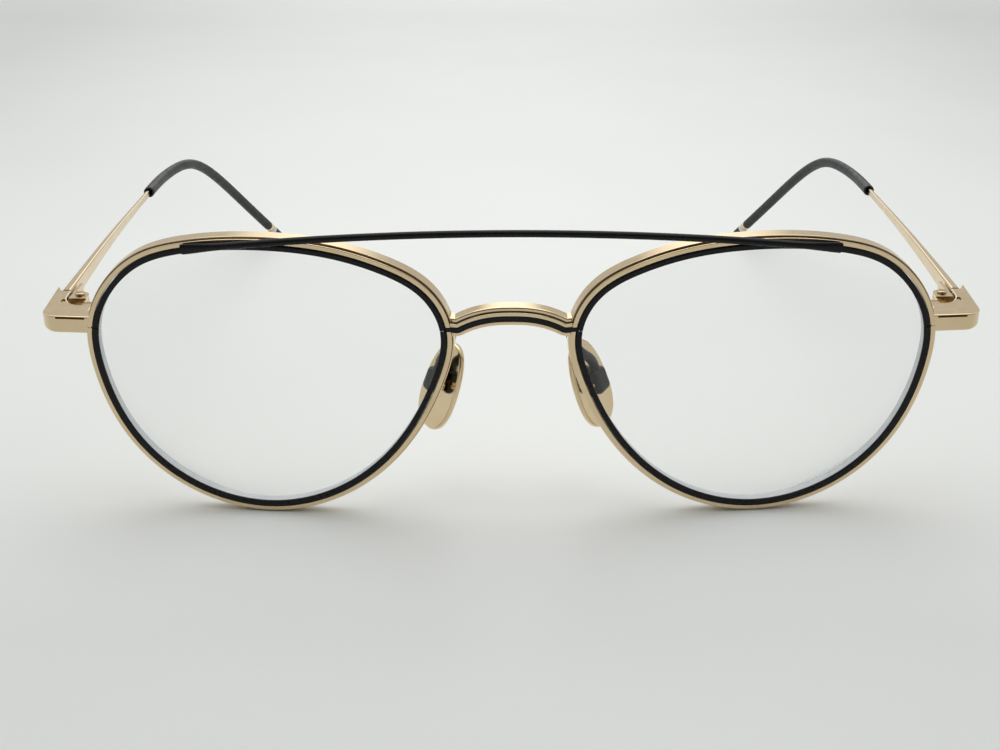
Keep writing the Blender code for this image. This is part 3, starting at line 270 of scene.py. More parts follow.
# Room, each change of light as its two levels and where it starts and ends
ROOM_COLOUR = (0.985, 0.985, 0.98, 1.0)
ROOM_BACK = (0.24, 0.72, -0.9, 0.1)
ROOM_CEILING = (0.0, 0.4, 0.5, 0.95)
GLOW_ACROSS = (0.95, -0.12, 0.0, 0.05)
GLOW_BACK = (0.0, 1.0, 0.3, 0.85)
VIEWER = (0.0, -0.93, 0.37)
VIEWER_SHADE = (1.0, 0.25, 0.72, 0.93)
LAMP_PLACE = (0.0, 0.15, 0.9)
LAMP_TARGET = (0.0, -0.02, 0.0)
LAMP_SIZE = 0.9
LAMP_POWER = 2.4

# Lens outline, as shares of half the lens width and height, temple side positive
OUTLINE_SHARES = (
    (0.987, 0.035), (0.995, 0.359), (0.883, 0.648), (0.687, 0.857),
    (0.445, 0.954), (0.000, 0.999), (-0.435, 0.934), (-0.669, 0.835),
    (-0.894, 0.656), (-1.004, 0.362), (-0.953, 0.035), (-0.724, -0.489),
    (-0.399, -0.845), (0.000, -1.001), (0.425, -0.905), (0.793, -0.541),
)

# Temple route, as shares of the reach, the toe-in and the drop to the table
ROUTE_SHARES = (
    (0.000, 0.000, 0.000), (0.273, -0.071, 0.009), (0.498, -0.129, 0.046),
    (0.654, -0.114, 0.081), (0.708, -0.035, 0.098), (0.758, 0.059, 0.149),
    (0.801, 0.176, 0.242), (0.840, 0.302, 0.362), (0.910, 0.569, 0.623),
    (1.000, 1.000, 1.000),
)

# Nose pad arm route: shares of the way across, down and back, from rim to box
PAD_ARM_SHARES = (
    (0.00, 0.00, 0.00), (0.00, 0.03, 0.16), (0.14, 0.30, 0.42),
    (0.52, 0.64, 0.68), (0.90, 0.88, 0.92), (1.00, 1.00, 1.00),
)

SIDES = ("right", "left")
MIRROR = Matrix.Diagonal((-1.0, 1.0, 1.0, 1.0))
LENS_CENTRE_UP = LENS_HEIGHT / 2.0 + RIM_OUTER
GROOVE_MIDDLE = -(GROOVE_FRONT + GROOVE_BACK) / 2.0
SLOTS = {entry["node"]: entry["material_slot"] for entry in frame["record"]["subparts"]}
BODIES = {
    node: body for body, nodes in frame["record"]["behaviour"]["bodies"].items() for node in nodes
}
JOINTS = {joint["name"]: joint for joint in frame["joints"]}


# Finishes

class Graph:
    """Helpers for the nodes of a material or of the world."""

    def __init__(self, owner):
        owner.use_nodes = True
        self.nodes = owner.node_tree.nodes
        self.links = owner.node_tree.links

    def feed(self, socket, value):
        """Set an input to a value, or link it to the output of another node."""
        if isinstance(value, bpy.types.NodeSocket):
            self.links.new(value, socket)
        else:
            socket.default_value = value

    def step(self, kind, inputs, output, **settings):
        """A new node's output."""
        node = self.nodes.new(f"ShaderNode{kind}")
        for name, value in settings.items():
            setattr(node, name, value)
        for name, value in inputs.items():
            self.feed(node.inputs[name], value)
        return node.outputs[output]

    def ranged(self, value, low, high, start=0.35, end=0.65):
        reach = {"Value": value, "From Min": start, "From Max": end, "To Min": low, "To Max": high}
        return self.step("MapRange", reach, "Result")

    def joined(self, operation, one, other):
        return self.step("Math", {0: one, 1: other}, "Value", operation=operation)

    def axes(self, vector):
        split = self.nodes.new("ShaderNodeSeparateXYZ")
        self.links.new(vector, split.inputs["Vector"])
        return split.outputs


class Finish(Graph):
    """A Principled material, with noise over the object for its grain."""

    def __init__(self, name, colour, roughness, metallic=0.0, specular=0.5):
        self.material = bpy.data.materials.new(name)
        super().__init__(self.material)
        self.place = self.step("TexCoord", {}, "Object")
        self.put("Base Color", (*colour, 1.0))
        self.put("Roughness", roughness)
        self.put("Metallic", metallic)
        self.put("Specular IOR Level", specular)

    def put(self, socket, value):
        self.feed(self.nodes["Principled BSDF"].inputs[socket], value)

    def noise(self, scale, detail=3.0, stretch=(1.0, 1.0, 1.0)):
        place = self.step("Mapping", {"Vector": self.place, "Scale": stretch}, "Vector")
        return self.step("TexNoise", {"Vector": place, "Scale": scale, "Detail": detail}, "Fac")


def surface(name, colour, roughness, tones, gloss, relief=None, metallic=0.0, specular=0.5):
    """A finish with noise in it.

    tones has the noise's scale and two colours, gloss its scale, its detail and two
    roughnesses, and relief its scale, its detail, the strength and the depth in mm.
    """
    finish = Finish(name, colour, roughness, metallic, specular)
    scale, one, other = tones
    share = finish.ranged(finish.noise(scale), 0.0, 1.0)
    mix = {"Factor": share, "A": (*one, 1.0), "B": (*other, 1.0)}
    finish.put("Base Color", finish.step("Mix", mix, "Result", data_type="RGBA"))
    scale, detail, low, high = gloss
    finish.put("Roughness", finish.ranged(finish.noise(scale, detail), low, high))
    if relief:
        scale, detail, strength, depth = relief
        bump = {"Height": finish.noise(scale, detail), "Strength": strength, "Distance": depth * MM}
        finish.put("Normal", finish.step("Bump", bump, "Normal"))
    return finish.material


def lens_finish():
    """Clear lens, a thin film to the eye, with more gloss at a low angle and faint wiping marks."""
    finish = Finish("clear_lens", (0.68, 0.71, 0.69), 0.03, specular=0.9)
    wiped = finish.noise(90.0, 4.0, (1.0, 1.0, 3.0))
    finish.put("Roughness", finish.ranged(wiped, 0.015, 0.06))
    facing = finish.step("LayerWeight", {"Blend": 0.32}, "Fresnel")
    finish.put("Alpha", finish.ranged(facing, 0.045, 0.4, 0.04, 1.0))
    return finish.material


SURFACES = {
    # Polished pale gold plating, with soft wear in its gloss and hairline polishing marks
    "champagne_gold": (
        (0.76, 0.605, 0.385), 0.2, (220.0, (0.78, 0.625, 0.405), (0.74, 0.585, 0.365)),
        (700.0, 4.0, 0.12, 0.22), (9000.0, 2.0, 0.06, 0.004), 1.0),
    # Satin black enamel with the faint orange peel of a sprayed coat
    "black_enamel": (
        (0.006, 0.006, 0.008), 0.3, (500.0, (0.005, 0.005, 0.007), (0.008, 0.007, 0.009)),
        (1200.0, 3.0, 0.24, 0.36), (2600.0, 2.0, 0.1, 0.02), 0.0, 0.22),
    # The duller and greyer black coat of the pad boxes and their arms
    "pad_black": (
        (0.016, 0.017, 0.017), 0.42, (600.0, (0.013, 0.014, 0.014), (0.022, 0.023, 0.023)),
        (1100.0, 3.0, 0.34, 0.5), (3000.0, 3.0, 0.2, 0.02), 0.0, 0.38),
    # Painted shade and dark reflection: darkened gold in the narrow groove that parts the rim's front band from
    # its body
    "groove_painted_shade": (
        (0.16, 0.11, 0.07), 0.5, (800.0, (0.12, 0.08, 0.05), (0.20, 0.15, 0.10)),
        (1500.0, 3.0, 0.42, 0.6), None, 1.0),
    # Matte black moulded acetate with a fine even grain
    "matte_black_tip": (
        (0.014, 0.016, 0.016), 0.5, (300.0, (0.012, 0.014, 0.014), (0.018, 0.020, 0.020)),
        (900.0, 3.0, 0.42, 0.55), (5200.0, 3.0, 0.25, 0.015), 0.0, 0.42),
    # The smooth pale band near each tip's end
    "pale_band": (
        (0.72, 0.71, 0.68), 0.32, (600.0, (0.74, 0.73, 0.70), (0.68, 0.67, 0.64)),
        (1500.0, 3.0, 0.26, 0.38)),
    # The lens's ground edge, frosted, that shows as a pale band inside the black ring
    "lens_edge": (
        (0.74, 0.77, 0.79), 0.45, (420.0, (0.70, 0.74, 0.77), (0.79, 0.81, 0.82)),
        (1800.0, 3.0, 0.36, 0.55), (6500.0, 2.0, 0.2, 0.01)),
}
FINISHES = {name: surface(name, *row) for name, row in SURFACES.items()}
FINISHES["clear_lens"] = lens_finish()


# Smooth lines

def spline_function(anchors, closed):
    """A cubic spline through the anchors: its length, and a function of the distance."""
    anchors = np.asarray(anchors, dtype=float)
    following = np.roll(anchors, -1, axis=0)
    steps = np.linalg.norm(following - anchors, axis=1)
    count = len(anchors)
    spans = count if closed else count - 1
    matrix = np.eye(count)
    right = np.zeros_like(anchors)
    rises = (following - anchors) / steps[:, None]
    for i in range(count) if closed else range(1, count - 1):
        matrix[i, i] = 2.0 * (steps[i - 1] + steps[i])
        matrix[i, i - 1] = steps[i - 1]
        matrix[i, (i + 1) % count] = steps[i]
        right[i] = 6.0 * (rises[i] - rises[i - 1])
    bends = np.linalg.solve(matrix, right)
    knots = np.concatenate(([0.0], np.cumsum(steps[:spans])))

    def point(distance):
        i = int(np.clip(np.searchsorted(knots, distance, side="right") - 1, 0, spans - 1))
        j = (i + 1) % count
        span = steps[i]
        ahead = distance - knots[i]
        left = span - ahead
        curved = (bends[i] * left**3 + bends[j] * ahead**3) / (6.0 * span)
        straight = (anchors[i] / span - bends[i] * span / 6.0) * left
        return curved + straight + (anchors[j] / span - bends[j] * span / 6.0) * ahead

    return knots[-1], point


def walked_along(points):
    steps = np.linalg.norm(np.diff(points, axis=0), axis=1)
    return np.concatenate(([0.0], np.cumsum(steps)))


def smooth_line(anchors, count, closed=False):
    """Evenly spaced points along the spline through the anchors."""
    length, point = spline_function(anchors, closed)
    dense = np.array([point(length * i / LINE_STEPS) for i in range(LINE_STEPS + 1)])
    walked = walked_along(dense)
    return at_distances(dense, walked, np.linspace(0.0, walked[-1], count, endpoint=not closed))


def at_distances(points, walked, wanted):
    return np.stack([np.interp(wanted, walked, column) for column in points.T], axis=1)


def stretch(points, start, end, count):
    """Points along a line of points, between two distances from its first point."""
    return at_distances(points, walked_along(points), np.linspace(start, end, count))


# Meshes with exact normals

def rounded_outline(corners, steps=4):
    """A closed outline of x, y and corner radius, as anticlockwise points and normals."""
    corners = np.array(corners, dtype=float)
    following = np.roll(corners, -1, axis=0)
    if np.sum(corners[:, 0] * following[:, 1] - following[:, 0] * corners[:, 1]) < 0.0:
        corners = corners[::-1]
    points = []
    normals = []
    for i, corner in enumerate(corners):
        before = corner[:2] - corners[i - 1][:2]
        after = corners[(i + 1) % len(corners)][:2] - corner[:2]
        start = math.atan2(before[1], before[0])
        turn = (math.atan2(after[1], after[0]) - start + math.pi) % (2.0 * math.pi) - math.pi
        radius = corner[2]
        run = radius * abs(math.tan(turn / 2.0))
        room = 0.49 * min(np.linalg.norm(before), np.linalg.norm(after))
        if run > room:
            radius *= room / run
            run = room
        place = corner[:2] - before / np.linalg.norm(before) * run
        sense = math.copysign(radius, turn)
        for k in range(steps + 1):
            angle = start + turn * k / steps
            points.append((place[0] + sense * (math.sin(angle) - math.sin(start)),
                           place[1] - sense * (math.cos(angle) - math.cos(start))))
            normals.append((math.sin(angle), -math.cos(angle)))
    return np.array(points), np.array(normals)


def unit(vectors):
    return vectors / np.linalg.norm(vectors, axis=1)[:, None]


def ellipse_outline(half_width, half_height, sides):
    angles = 2.0 * math.pi * np.arange(sides) / sides
    points = np.stack((half_width * np.cos(angles), half_height * np.sin(angles)), axis=1)
    normals = np.stack((np.cos(angles) / half_width, np.sin(angles) / half_height), axis=1)
    return points, unit(normals)


def sweep_data(path, section, normals, scales=None):
    """Vertices, faces and corner normals of a section carried along a path, z kept up."""
    path = np.asarray(path)
    along = unit(np.gradient(path, axis=0))
    right = unit(np.cross(along, (0.0, 0.0, 1.0)))
    lift = np.cross(right, along)
    if scales is not None:
        section = section * scales[:, None, None]
    vertices = path[:, None] + right[:, None] * section[..., :1] + lift[:, None] * section[..., 1:]
    facing = right[:, None] * normals[..., :1] + lift[:, None] * normals[..., 1:]
    return skin(vertices, facing, along)


def skin(vertices, facing, along=None):
    """Quads over a grid of points, row by row, with flat ends unless the rows run in a ring."""
    rows, sides = vertices.shape[:2]
    points = vertices.reshape(-1, 3)
    facing = facing.reshape(-1, 3)
    faces = []
    for i in range(rows if along is None else rows - 1):
        here = i * sides
        ahead = (i + 1) % rows * sides
        for j in range(sides):
            k = (j + 1) % sides
            faces.append((here + j, ahead + j, ahead + k, here + k))
    normals = [facing[list(face)] for face in faces]
    if along is not None:
        faces.append(tuple(range(sides)))
        normals.append(np.repeat(-along[:1], sides, axis=0))
        last = (rows - 1) * sides
        faces.append(tuple(range(last + sides - 1, last - 1, -1)))
        normals.append(np.repeat(along[-1:], sides, axis=0))
    return points, faces, normals


def lathe_data(profile, rounding_steps=4):
    """A closed outline of radius, height and rounding, turned about the z axis."""
    points, normals = rounded_outline(profile, rounding_steps)
    angles = 2.0 * math.pi * np.arange(ROUND_STEPS) / ROUND_STEPS
    around = np.stack((np.cos(angles), np.sin(angles)), axis=1)[:, None]
    level = np.ones((ROUND_STEPS, 1, 1))
    radii = np.maximum(points[:, :1], 0.0)
    vertices = np.concatenate((around * radii, level * points[:, 1:]), axis=2)
    facing = np.concatenate((around * normals[:, :1], level * normals[:, 1:]), axis=2)
    vertices, faces, normals = skin(vertices, facing)
    on_axis = (radii[:, 0] <= 0.0) & (np.roll(radii[:, 0], -1) <= 0.0)
    kept = [i for i in range(len(faces)) if not on_axis[i % len(points)]]
    return vertices, [faces[i] for i in kept], [normals[i] for i in kept]


def painted_groove_faces(outline, data, mouth, lowest):
    """Marks the faces of a swept piece that lie in its groove, above a height, to take the groove's painted shade.
    """
    points, faces, _ = data
    middles = (outline + np.roll(outline, -1, axis=0)) / 2.0
    inside = (middles[:, 0] < mouth) & (middles[:, 1] < -GROOVE_FRONT)
    inside &= middles[:, 1] > -GROOVE_BACK
    sides = len(outline)
    return [
        int(len(face) == 4 and inside[i % sides] and points[face[0]][1] > lowest)
        for i, face in enumerate(faces)
    ]


# Pieces

def added(name, data):
    item = bpy.data.objects.new(name, data)
    bpy.context.scene.collection.objects.link(item)
    return item


def wear(item, node, second=None):
    """Give a piece its finish and its body, in the place of a CAD node."""
    slot = SLOTS[node]
    item.data.materials.append(FINISHES["pad_black" if node.startswith("pad_") else slot])
    if second:
        item.data.materials.append(FINISHES[second])
    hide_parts(node)
    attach(item, BODIES[node])


def piece(node, data, matrix, marks=None, second=None):
    """The piece of a CAD node, with a normal for each corner of each face, mirrored for the left."""
    vertices, faces, normals = data
    turn = np.array(matrix.to_3x3())
    vertices = vertices @ turn.T + np.array(matrix.translation)
    normals = [face @ turn.T for face in normals]
    if node.endswith("left"):
        vertices[:, 0] *= -1.0
        faces = [face[::-1] for face in faces]
        normals = [face[::-1] * np.array((-1.0, 1.0, 1.0)) for face in normals]
    mesh = bpy.data.meshes.new(f"fine_{node}")
    mesh.from_pydata(vertices.tolist(), [], faces)
    mesh.shade_smooth()
    mesh.normals_split_custom_set(np.concatenate(normals).tolist())
    if marks is not None:
        mesh.polygons.foreach_set("material_index", marks)
    wear(added(f"fine_{node}", mesh), node, second)


def pair(node, data, matrix, marks=None, second=None):
    """The same piece on both sides, named after the CAD nodes that it stands for."""
    for side in SIDES:
        piece(f"{node}_{side}", data, matrix, marks, second)


# Solid modelling with modifiers

def solid(build):
    mesh = bpy.data.meshes.new("solid")
    shape = bmesh.new()
    build(shape)
    bmesh.ops.recalc_face_normals(shape, faces=shape.faces)
    shape.to_mesh(mesh)
    shape.free()
    return added("solid", mesh)


def applied(item):
    """The object with its modifiers made permanent."""
    graph = bpy.context.evaluated_depsgraph_get()
    graph.update()
    mesh = bpy.data.meshes.new_from_object(item.evaluated_get(graph))
    item.modifiers.clear()
    item.data = mesh
    return item


def combined(item, other, operation):
    step = item.modifiers.new("combine", "BOOLEAN")
    step.operation = operation
    step.solver = "EXACT"
    step.object = other
    applied(item)
    bpy.data.objects.remove(other, do_unlink=True)
    return item


def softened(item, width, segments=3, angle=SOFT_ANGLE):
    bevel = item.modifiers.new("soften", "BEVEL")
    bevel.width = width
    bevel.segments = segments
    bevel.limit_method = "ANGLE"
    bevel.angle_limit = angle
    return applied(item)


def block(low, high):
    low = Vector(low)
    high = Vector(high)
    item = solid(lambda shape: bmesh.ops.create_cube(shape, size=1.0))
    sizes = Matrix.Diagonal((*(high - low), 1.0))
    item.data.transform(Matrix.Translation((low + high) / 2.0) @ sizes)
    return item


def rod(radius, height, middle=0.0):
    item = solid(lambda shape: bmesh.ops.create_cone(
        shape, cap_ends=True, segments=ROUND_STEPS, radius1=radius, radius2=radius, depth=height))
    item.data.transform(Matrix.Translation((0.0, 0.0, middle)))
    return item


def plate(outline, thickness):
    """A closed outline of x and y, filled to half its thickness on each side."""
    def build(shape):
        face = shape.faces.new([shape.verts.new((x, y, -thickness / 2.0)) for x, y in outline])
        raised = bmesh.ops.extrude_face_region(shape, geom=[face], use_keep_orig=True)
        tops = [part for part in raised["geom"] if isinstance(part, bmesh.types.BMVert)]
        bmesh.ops.translate(shape, verts=tops, vec=(0.0, 0.0, thickness))
    return solid(build)


def solid_piece(node, item, matrix):
    """The piece of a CAD node from a modelled solid, smooth between its sharp edges."""
    mesh = item.data.copy()
    mesh.transform(matrix)
    if node.endswith("left"):
        mesh.transform(MIRROR)
        mesh.flip_normals()
    mesh.materials.clear()
    mesh.shade_smooth()
    mesh.set_sharp_from_angle(angle=SHARP_ANGLE)
    copy = added(f"fine_{node}", mesh)
    weighted = copy.modifiers.new("weighted", "WEIGHTED_NORMAL")
    weighted.keep_sharp = True
    wear(applied(copy), node)


def pair_of_solids(node, item, matrix, left_matrix=None):
    """Place a modelled solid on both sides."""
    solid_piece(f"{node}_right", item, matrix)
    solid_piece(f"{node}_left", item, left_matrix or matrix)
    bpy.data.objects.remove(item, do_unlink=True)


# The lens outline and the curved surface of the front

def lens_edge():
    half = np.array([LENS_WIDTH / 2.0, LENS_HEIGHT / 2.0])
    edge = smooth_line(np.array(OUTLINE_SHARES) * half, EDGE_COUNT, closed=True)
    along = unit(np.roll(edge, -1, axis=0) - np.roll(edge, 1, axis=0))
    return edge, np.stack([along[:, 1], -along[:, 0]], axis=1)


EDGE, EDGE_OUT = lens_edge()


def curve_back(x, y):
    return LENS_CURVE_RADIUS - np.sqrt(LENS_CURVE_RADIUS**2 - x * x - y * y)


def on_curve(points):
    points = np.asarray(points)
    return np.stack((points[:, 0], points[:, 1], -curve_back(points[:, 0], points[:, 1])), axis=1)


def edge_at_height(height, side, offset=0.0):
    """Distance across from the lens centre to its edge, moved out by an offset, at a height."""
    edge = EDGE + EDGE_OUT * offset
    edge = edge[edge[:, 0] * side > 0.0]
    edge = edge[np.argsort(edge[:, 1])]
    return np.interp(height, edge[:, 1], edge[:, 0])


def outline_between(start, end, gap):
    """The lens outline anticlockwise between two places, each a height and a side."""
    walk = np.concatenate((EDGE, EDGE, EDGE[:1]))
    walked = walked_along(walk)

    def distance_to(height, side):
        target = np.array([edge_at_height(height, side), height])
        nearest = int(np.argmin(np.linalg.norm(EDGE - target, axis=1)))
        return walked[nearest] + (target - EDGE[nearest]) @ (walk[nearest + 1] - walk[nearest]) / (
            walked[nearest + 1] - walked[nearest])

    first = distance_to(*start) + gap / 2.0
    last = distance_to(*end) - gap / 2.0
    while last <= first:
        last += walked[len(EDGE)]
    count = int(EDGE_COUNT * (last - first) / walked[len(EDGE)]) + 1
    return at_distances(walk, walked, np.linspace(first, last, count))


EYE = Matrix.Translation(((LENS_SPACING + LENS_WIDTH) / 2.0, LENS_CENTRE_UP, 0.0)) @ Matrix.Rotation(
    FACE_FORM, 4, "Y")
FRONT = Matrix.Translation((0.0, FRONT_BACK, FRONT_UP)) @ Matrix.Rotation(
    QUARTER + FRONT_LEAN, 4, "X")
EYE_WORLD = FRONT @ EYE


def rim_face(height, side, offset=0.0):
    """A point of the rim's front beside the lens edge, in the front's frame."""
    edge = edge_at_height(height, side)
    return EYE @ Vector((edge + side * offset, height, -curve_back(edge, height)))


def on_front(x, y):
    """The point of the curved surface at a place of the right lens, in the front's frame."""
    return EYE @ Vector((x, y, -curve_back(x, y)))


def front_depth(across, up_from_lens):
    inside = EYE.inverted() @ Vector((across, LENS_CENTRE_UP + up_from_lens, 0.0))
    return -on_front(inside.x, inside.y).z


# Rims, rings and lenses

TEMPORAL = (TEMPORAL_SPLIT, 1)
NASAL = (NASAL_SPLIT, -1)

rim_section = rounded_outline([
    (RIM_INNER, 0.0, RIM_SOFT),
    (RIM_FACE, 0.0, RIM_SOFT),
    (RIM_FACE, -GROOVE_FRONT, GROOVE_SOFT),
    (RIM_FACE - GROOVE_DEPTH, GROOVE_MIDDLE, GROOVE_SOFT),
    (RIM_FACE + GROOVE_SHADE, -GROOVE_BACK + GROOVE_SHADE / 2.0, 0.0),
    (RIM_OUTER, -GROOVE_BACK, RIM_BODY_SOFT),
    (RIM_OUTER, -RIM_DEPTH, RIM_BODY_SOFT),
    (RIM_INNER, -RIM_DEPTH, RIM_SOFT),
])
rim_route = on_curve(outline_between(TEMPORAL, TEMPORAL, RIM_SLIT))
rim_mesh = sweep_data(rim_route, *rim_section)
# The rim's groove gets painted shade only above the bridge's height, where the crease reads dark
rim_groove_shade = painted_groove_faces(rim_section[0], rim_mesh, RIM_FACE + GROOVE_SHADE, BRIDGE_RISE)
pair("rim", rim_mesh, EYE_WORLD, rim_groove_shade, "groove_painted_shade")

ring_section = rounded_outline([
    (RING_INNER, RING_PROUD, RING_SOFT),
    (RING_OUTER, RING_PROUD, RING_SOFT),
    (RING_OUTER, -RING_DEPTH, RING_EDGE),
    (RING_BACK_IN, -RING_DEPTH, RING_EDGE),
    (RING_BACK_IN, -RING_BACK_LIP, RING_EDGE),
    (RING_GROOVE, -RING_BACK_LIP, RING_EDGE),
    (RING_GROOVE, -RING_LIP, RING_EDGE),
    (RING_INNER, -RING_LIP, RING_EDGE),
])
for half, start, end in (("upper", TEMPORAL, NASAL), ("lower", NASAL, TEMPORAL)):
    route = on_curve(outline_between(start, end, RING_GAP))
    pair(f"inner_ring_{half}", sweep_data(route, *ring_section), EYE_WORLD)


def lens_data():
    """Both faces of the lens and its frosted wall, and a mark for each face of the wall."""
    outer = EDGE - EDGE_OUT * LENS_WALL_IN
    count = len(outer)
    shares = np.arange(1, LENS_RINGS + 1) / LENS_RINGS
    rings = [(depth, share) for depth in (LENS_FRONT, LENS_BACK) for share in shares]
    rings.append((LENS_WALL_BACK, 1.0))
    rows = [on_curve(outer * share) - np.array((0.0, 0.0, depth)) for depth, share in rings]
    points = np.concatenate((*rows, [(0.0, 0.0, -LENS_FRONT), (0.0, 0.0, -LENS_BACK)]))
    front_ring = (LENS_RINGS - 1) * count
    back_ring = 2 * LENS_RINGS * count
    sphere = unit(points + np.array((0.0, 0.0, LENS_CURVE_RADIUS)))
    out = np.concatenate((EDGE_OUT, np.zeros((count, 1))), axis=1)
    faces = []
    normals = []
    marks = []
    for j in range(count):
        k = (j + 1) % count
        for layer, sense in ((0, 1.0), (1, -1.0)):
            base = layer * LENS_RINGS * count
            shapes = [(back_ring + count + layer, base + j, base + k)]
            for i in range(LENS_RINGS - 1):
                low = base + i * count
                high = low + count
                shapes.append((low + j, high + j, high + k, low + k))
            for face in shapes:
                face = face if layer == 0 else face[::-1]
                faces.append(face)
                normals.append(sphere[list(face)] * sense)
                marks.append(0)
        faces.append((front_ring + j, back_ring + j, back_ring + k, front_ring + k))
        normals.append(out[[j, j, k, k]])
        marks.append(1)
    return points, faces, normals, marks


*lens_mesh, lens_marks = lens_data()
pair("lens", lens_mesh, EYE_WORLD, lens_marks, "lens_edge")


# Bridge, inlay and brow bar

nasal_face = rim_face(BRIDGE_RISE, -1, RIM_OUTER)


def bridge_point(x):
    """Height and forward place of the bridge's front line, in the front's frame."""
    fallen = np.minimum(np.abs(x) / (nasal_face.x - BRIDGE_LEVEL_END), 1.0) ** BRIDGE_ARCH_POWER
    up = LENS_CENTRE_UP + BRIDGE_RISE + BRIDGE_ARCH * (1.0 - fallen)
    share = np.minimum(np.abs(x) / nasal_face.x, 1.0)
    depth = -nasal_face.z - BRIDGE_BOW * (1.0 - share * share)
    depth += math.tan(FACE_FORM) * np.maximum(np.abs(x) - nasal_face.x, 0.0)
    return np.stack((x, up, -depth), axis=-1)


def between_rims(name, corners, front_offset, back_offset, mouth=None):
    """A section carried from rim to rim, each of its lines trimmed to the rim it meets."""
    section, normals = rounded_outline(corners)
    shares = np.linspace(1.0, -1.0, BRIDGE_COUNT)
    lines = []
    facings = []
    for (up, forward), (out_up, out_forward) in zip(section, normals):
        offset = front_offset if forward > GROOVE_MIDDLE else back_offset
        height = BRIDGE_RISE + up
        reach = on_front(edge_at_height(height, -1, offset + SOLDER_SEAM), height).x
        line = bridge_point(shares * reach)
        slope = np.gradient(line[:, 1], line[:, 0])
        steep = np.sqrt(1.0 + slope * slope)
        away = np.stack((-slope / steep, 1.0 / steep, np.zeros(BRIDGE_COUNT)), axis=1)
        lines.append(line + away * up + np.array((0.0, 0.0, forward)))
        facings.append(away * out_up + np.array((0.0, 0.0, out_forward)))
    along = np.array([(-1.0, 0.0, 0.0)])
    data = skin(np.stack(lines, axis=1), np.stack(facings, axis=1), along)
    # The bridge's groove gets the same painted shade as the rims' grooves
    if mouth:
        piece(name, data, FRONT, painted_groove_faces(section, data, mouth, 0.0), "groove_painted_shade")
    else:
        piece(name, data, FRONT)


top = BRIDGE_HEIGHT / 2.0
slot_low = INLAY_LOW - SEAM / 2.0 - top
slot_high = slot_low + INLAY_HEIGHT + SEAM
band_top = slot_high + BAND_HEIGHT
bridge_mouth = band_top + GROOVE_SHADE
between_rims("bridge", [
    (top, -BRIDGE_DEPTH, BRIDGE_SOFT),
    (top, -GROOVE_BACK, BRIDGE_BODY_SOFT),
    (bridge_mouth, -GROOVE_BACK + GROOVE_SHADE / 2.0, 0.0),
    (band_top - GROOVE_DEPTH, GROOVE_MIDDLE, GROOVE_SOFT),
    (band_top, -GROOVE_FRONT, GROOVE_SOFT),
    (band_top, 0.0, RIM_SOFT),
    (slot_high, 0.0, GROOVE_SOFT),
    (slot_high, -INLAY_DEPTH - SEAM, GROOVE_SOFT),
    (slot_low, -INLAY_DEPTH - SEAM, GROOVE_SOFT),
    (slot_low, 0.0, GROOVE_SOFT),
    (-top, 0.0, RIM_SOFT),
    (-top, -BRIDGE_DEPTH, BRIDGE_SOFT),
], RIM_FACE, RIM_OUTER, bridge_mouth)

inlay_low = INLAY_LOW - top
between_rims("bridge_inlay", [
    (inlay_low + INLAY_HEIGHT, -INLAY_DEPTH, INLAY_SOFT),
    (inlay_low + INLAY_HEIGHT, RING_PROUD, INLAY_SOFT),
    (inlay_low, RING_PROUD, INLAY_SOFT),
    (inlay_low, -INLAY_DEPTH, INLAY_SOFT),
], RING_OUTER, RING_OUTER)


def bar_depth(x, up_from_lens):
    """The bar follows the rims' fronts and bows forwards between the lens centres."""
    rim_stand = RIM_FACE * LENS_WIDTH / 2.0 / LENS_CURVE_RADIUS
    clear = BAR_FLAT_THICKNESS / 2.0 + RING_PROUD + SEAM + rim_stand
    centre = (LENS_SPACING + LENS_WIDTH) / 2.0
    inside = max(centre - abs(x), 0.0)
    bow = math.tan(FACE_FORM) * (centre * centre - (centre - inside) ** 2) / (2.0 * centre)
    return front_depth(max(abs(x), centre), up_from_lens) - clear - bow


def build_bar():
    """A round bar whose ends are pressed flat and rounded off."""
    path = []
    sections = []
    facings = []
    ends = BAR_END_ROUND * (1.0 - np.cos(np.linspace(0.0, QUARTER, BAR_END_STEPS)))
    middle = np.linspace(BAR_END_ROUND, 2.0 * BAR_HALF_LENGTH - BAR_END_ROUND, BAR_COUNT)
    walk = np.concatenate((ends[:-1], middle, 2.0 * BAR_HALF_LENGTH - ends[:-1][::-1]))
    for distance in walk:
        x = BAR_HALF_LENGTH - distance
        share = x / BAR_HALF_LENGTH
        rise = LENS_HEIGHT / 2.0 + BAR_ABOVE_LENS - BAR_SAG * share * share
        path.append((x, LENS_CENTRE_UP + rise, -bar_depth(x, rise)))
        flat = min(max((abs(x) - BAR_HALF_LENGTH + BAR_FLAT_LENGTH) / BAR_FLAT_LENGTH, 0.0), 1.0)
        flat = flat * flat * (3.0 - 2.0 * flat)
        thin = 1.0 + (BAR_FLAT_THICKNESS / BAR_DIAMETER - 1.0) * flat
        left = min(distance, 2.0 * BAR_HALF_LENGTH - distance, BAR_END_ROUND)
        drawn_in = math.sqrt(max(1.0 - (1.0 - left / BAR_END_ROUND) ** 2, 0.0))
        inset = BAR_END_ROUND * (1.0 - drawn_in)
        section, normals = ellipse_outline(
            BAR_DIAMETER / 2.0 / thin - inset, BAR_DIAMETER / 2.0 * thin - inset, BAR_SIDES)
        sections.append(section)
        facings.append(normals)
    piece("brow_bar", sweep_data(path, np.array(sections), np.array(facings)), FRONT)


build_bar()


# Endpieces

SIDE = rim_face(ENDPIECE_RISE, 1, RIM_OUTER)
ENDPIECE_FRONT = -SIDE.z
ENDPIECE_OUTER = SIDE.x + ENDPIECE_REACH
ENDPIECE_INNER = ENDPIECE_OUTER + ENDPIECE_FLARE - ENDPIECE_WALL
CENTRE_UP = LENS_CENTRE_UP + ENDPIECE_RISE


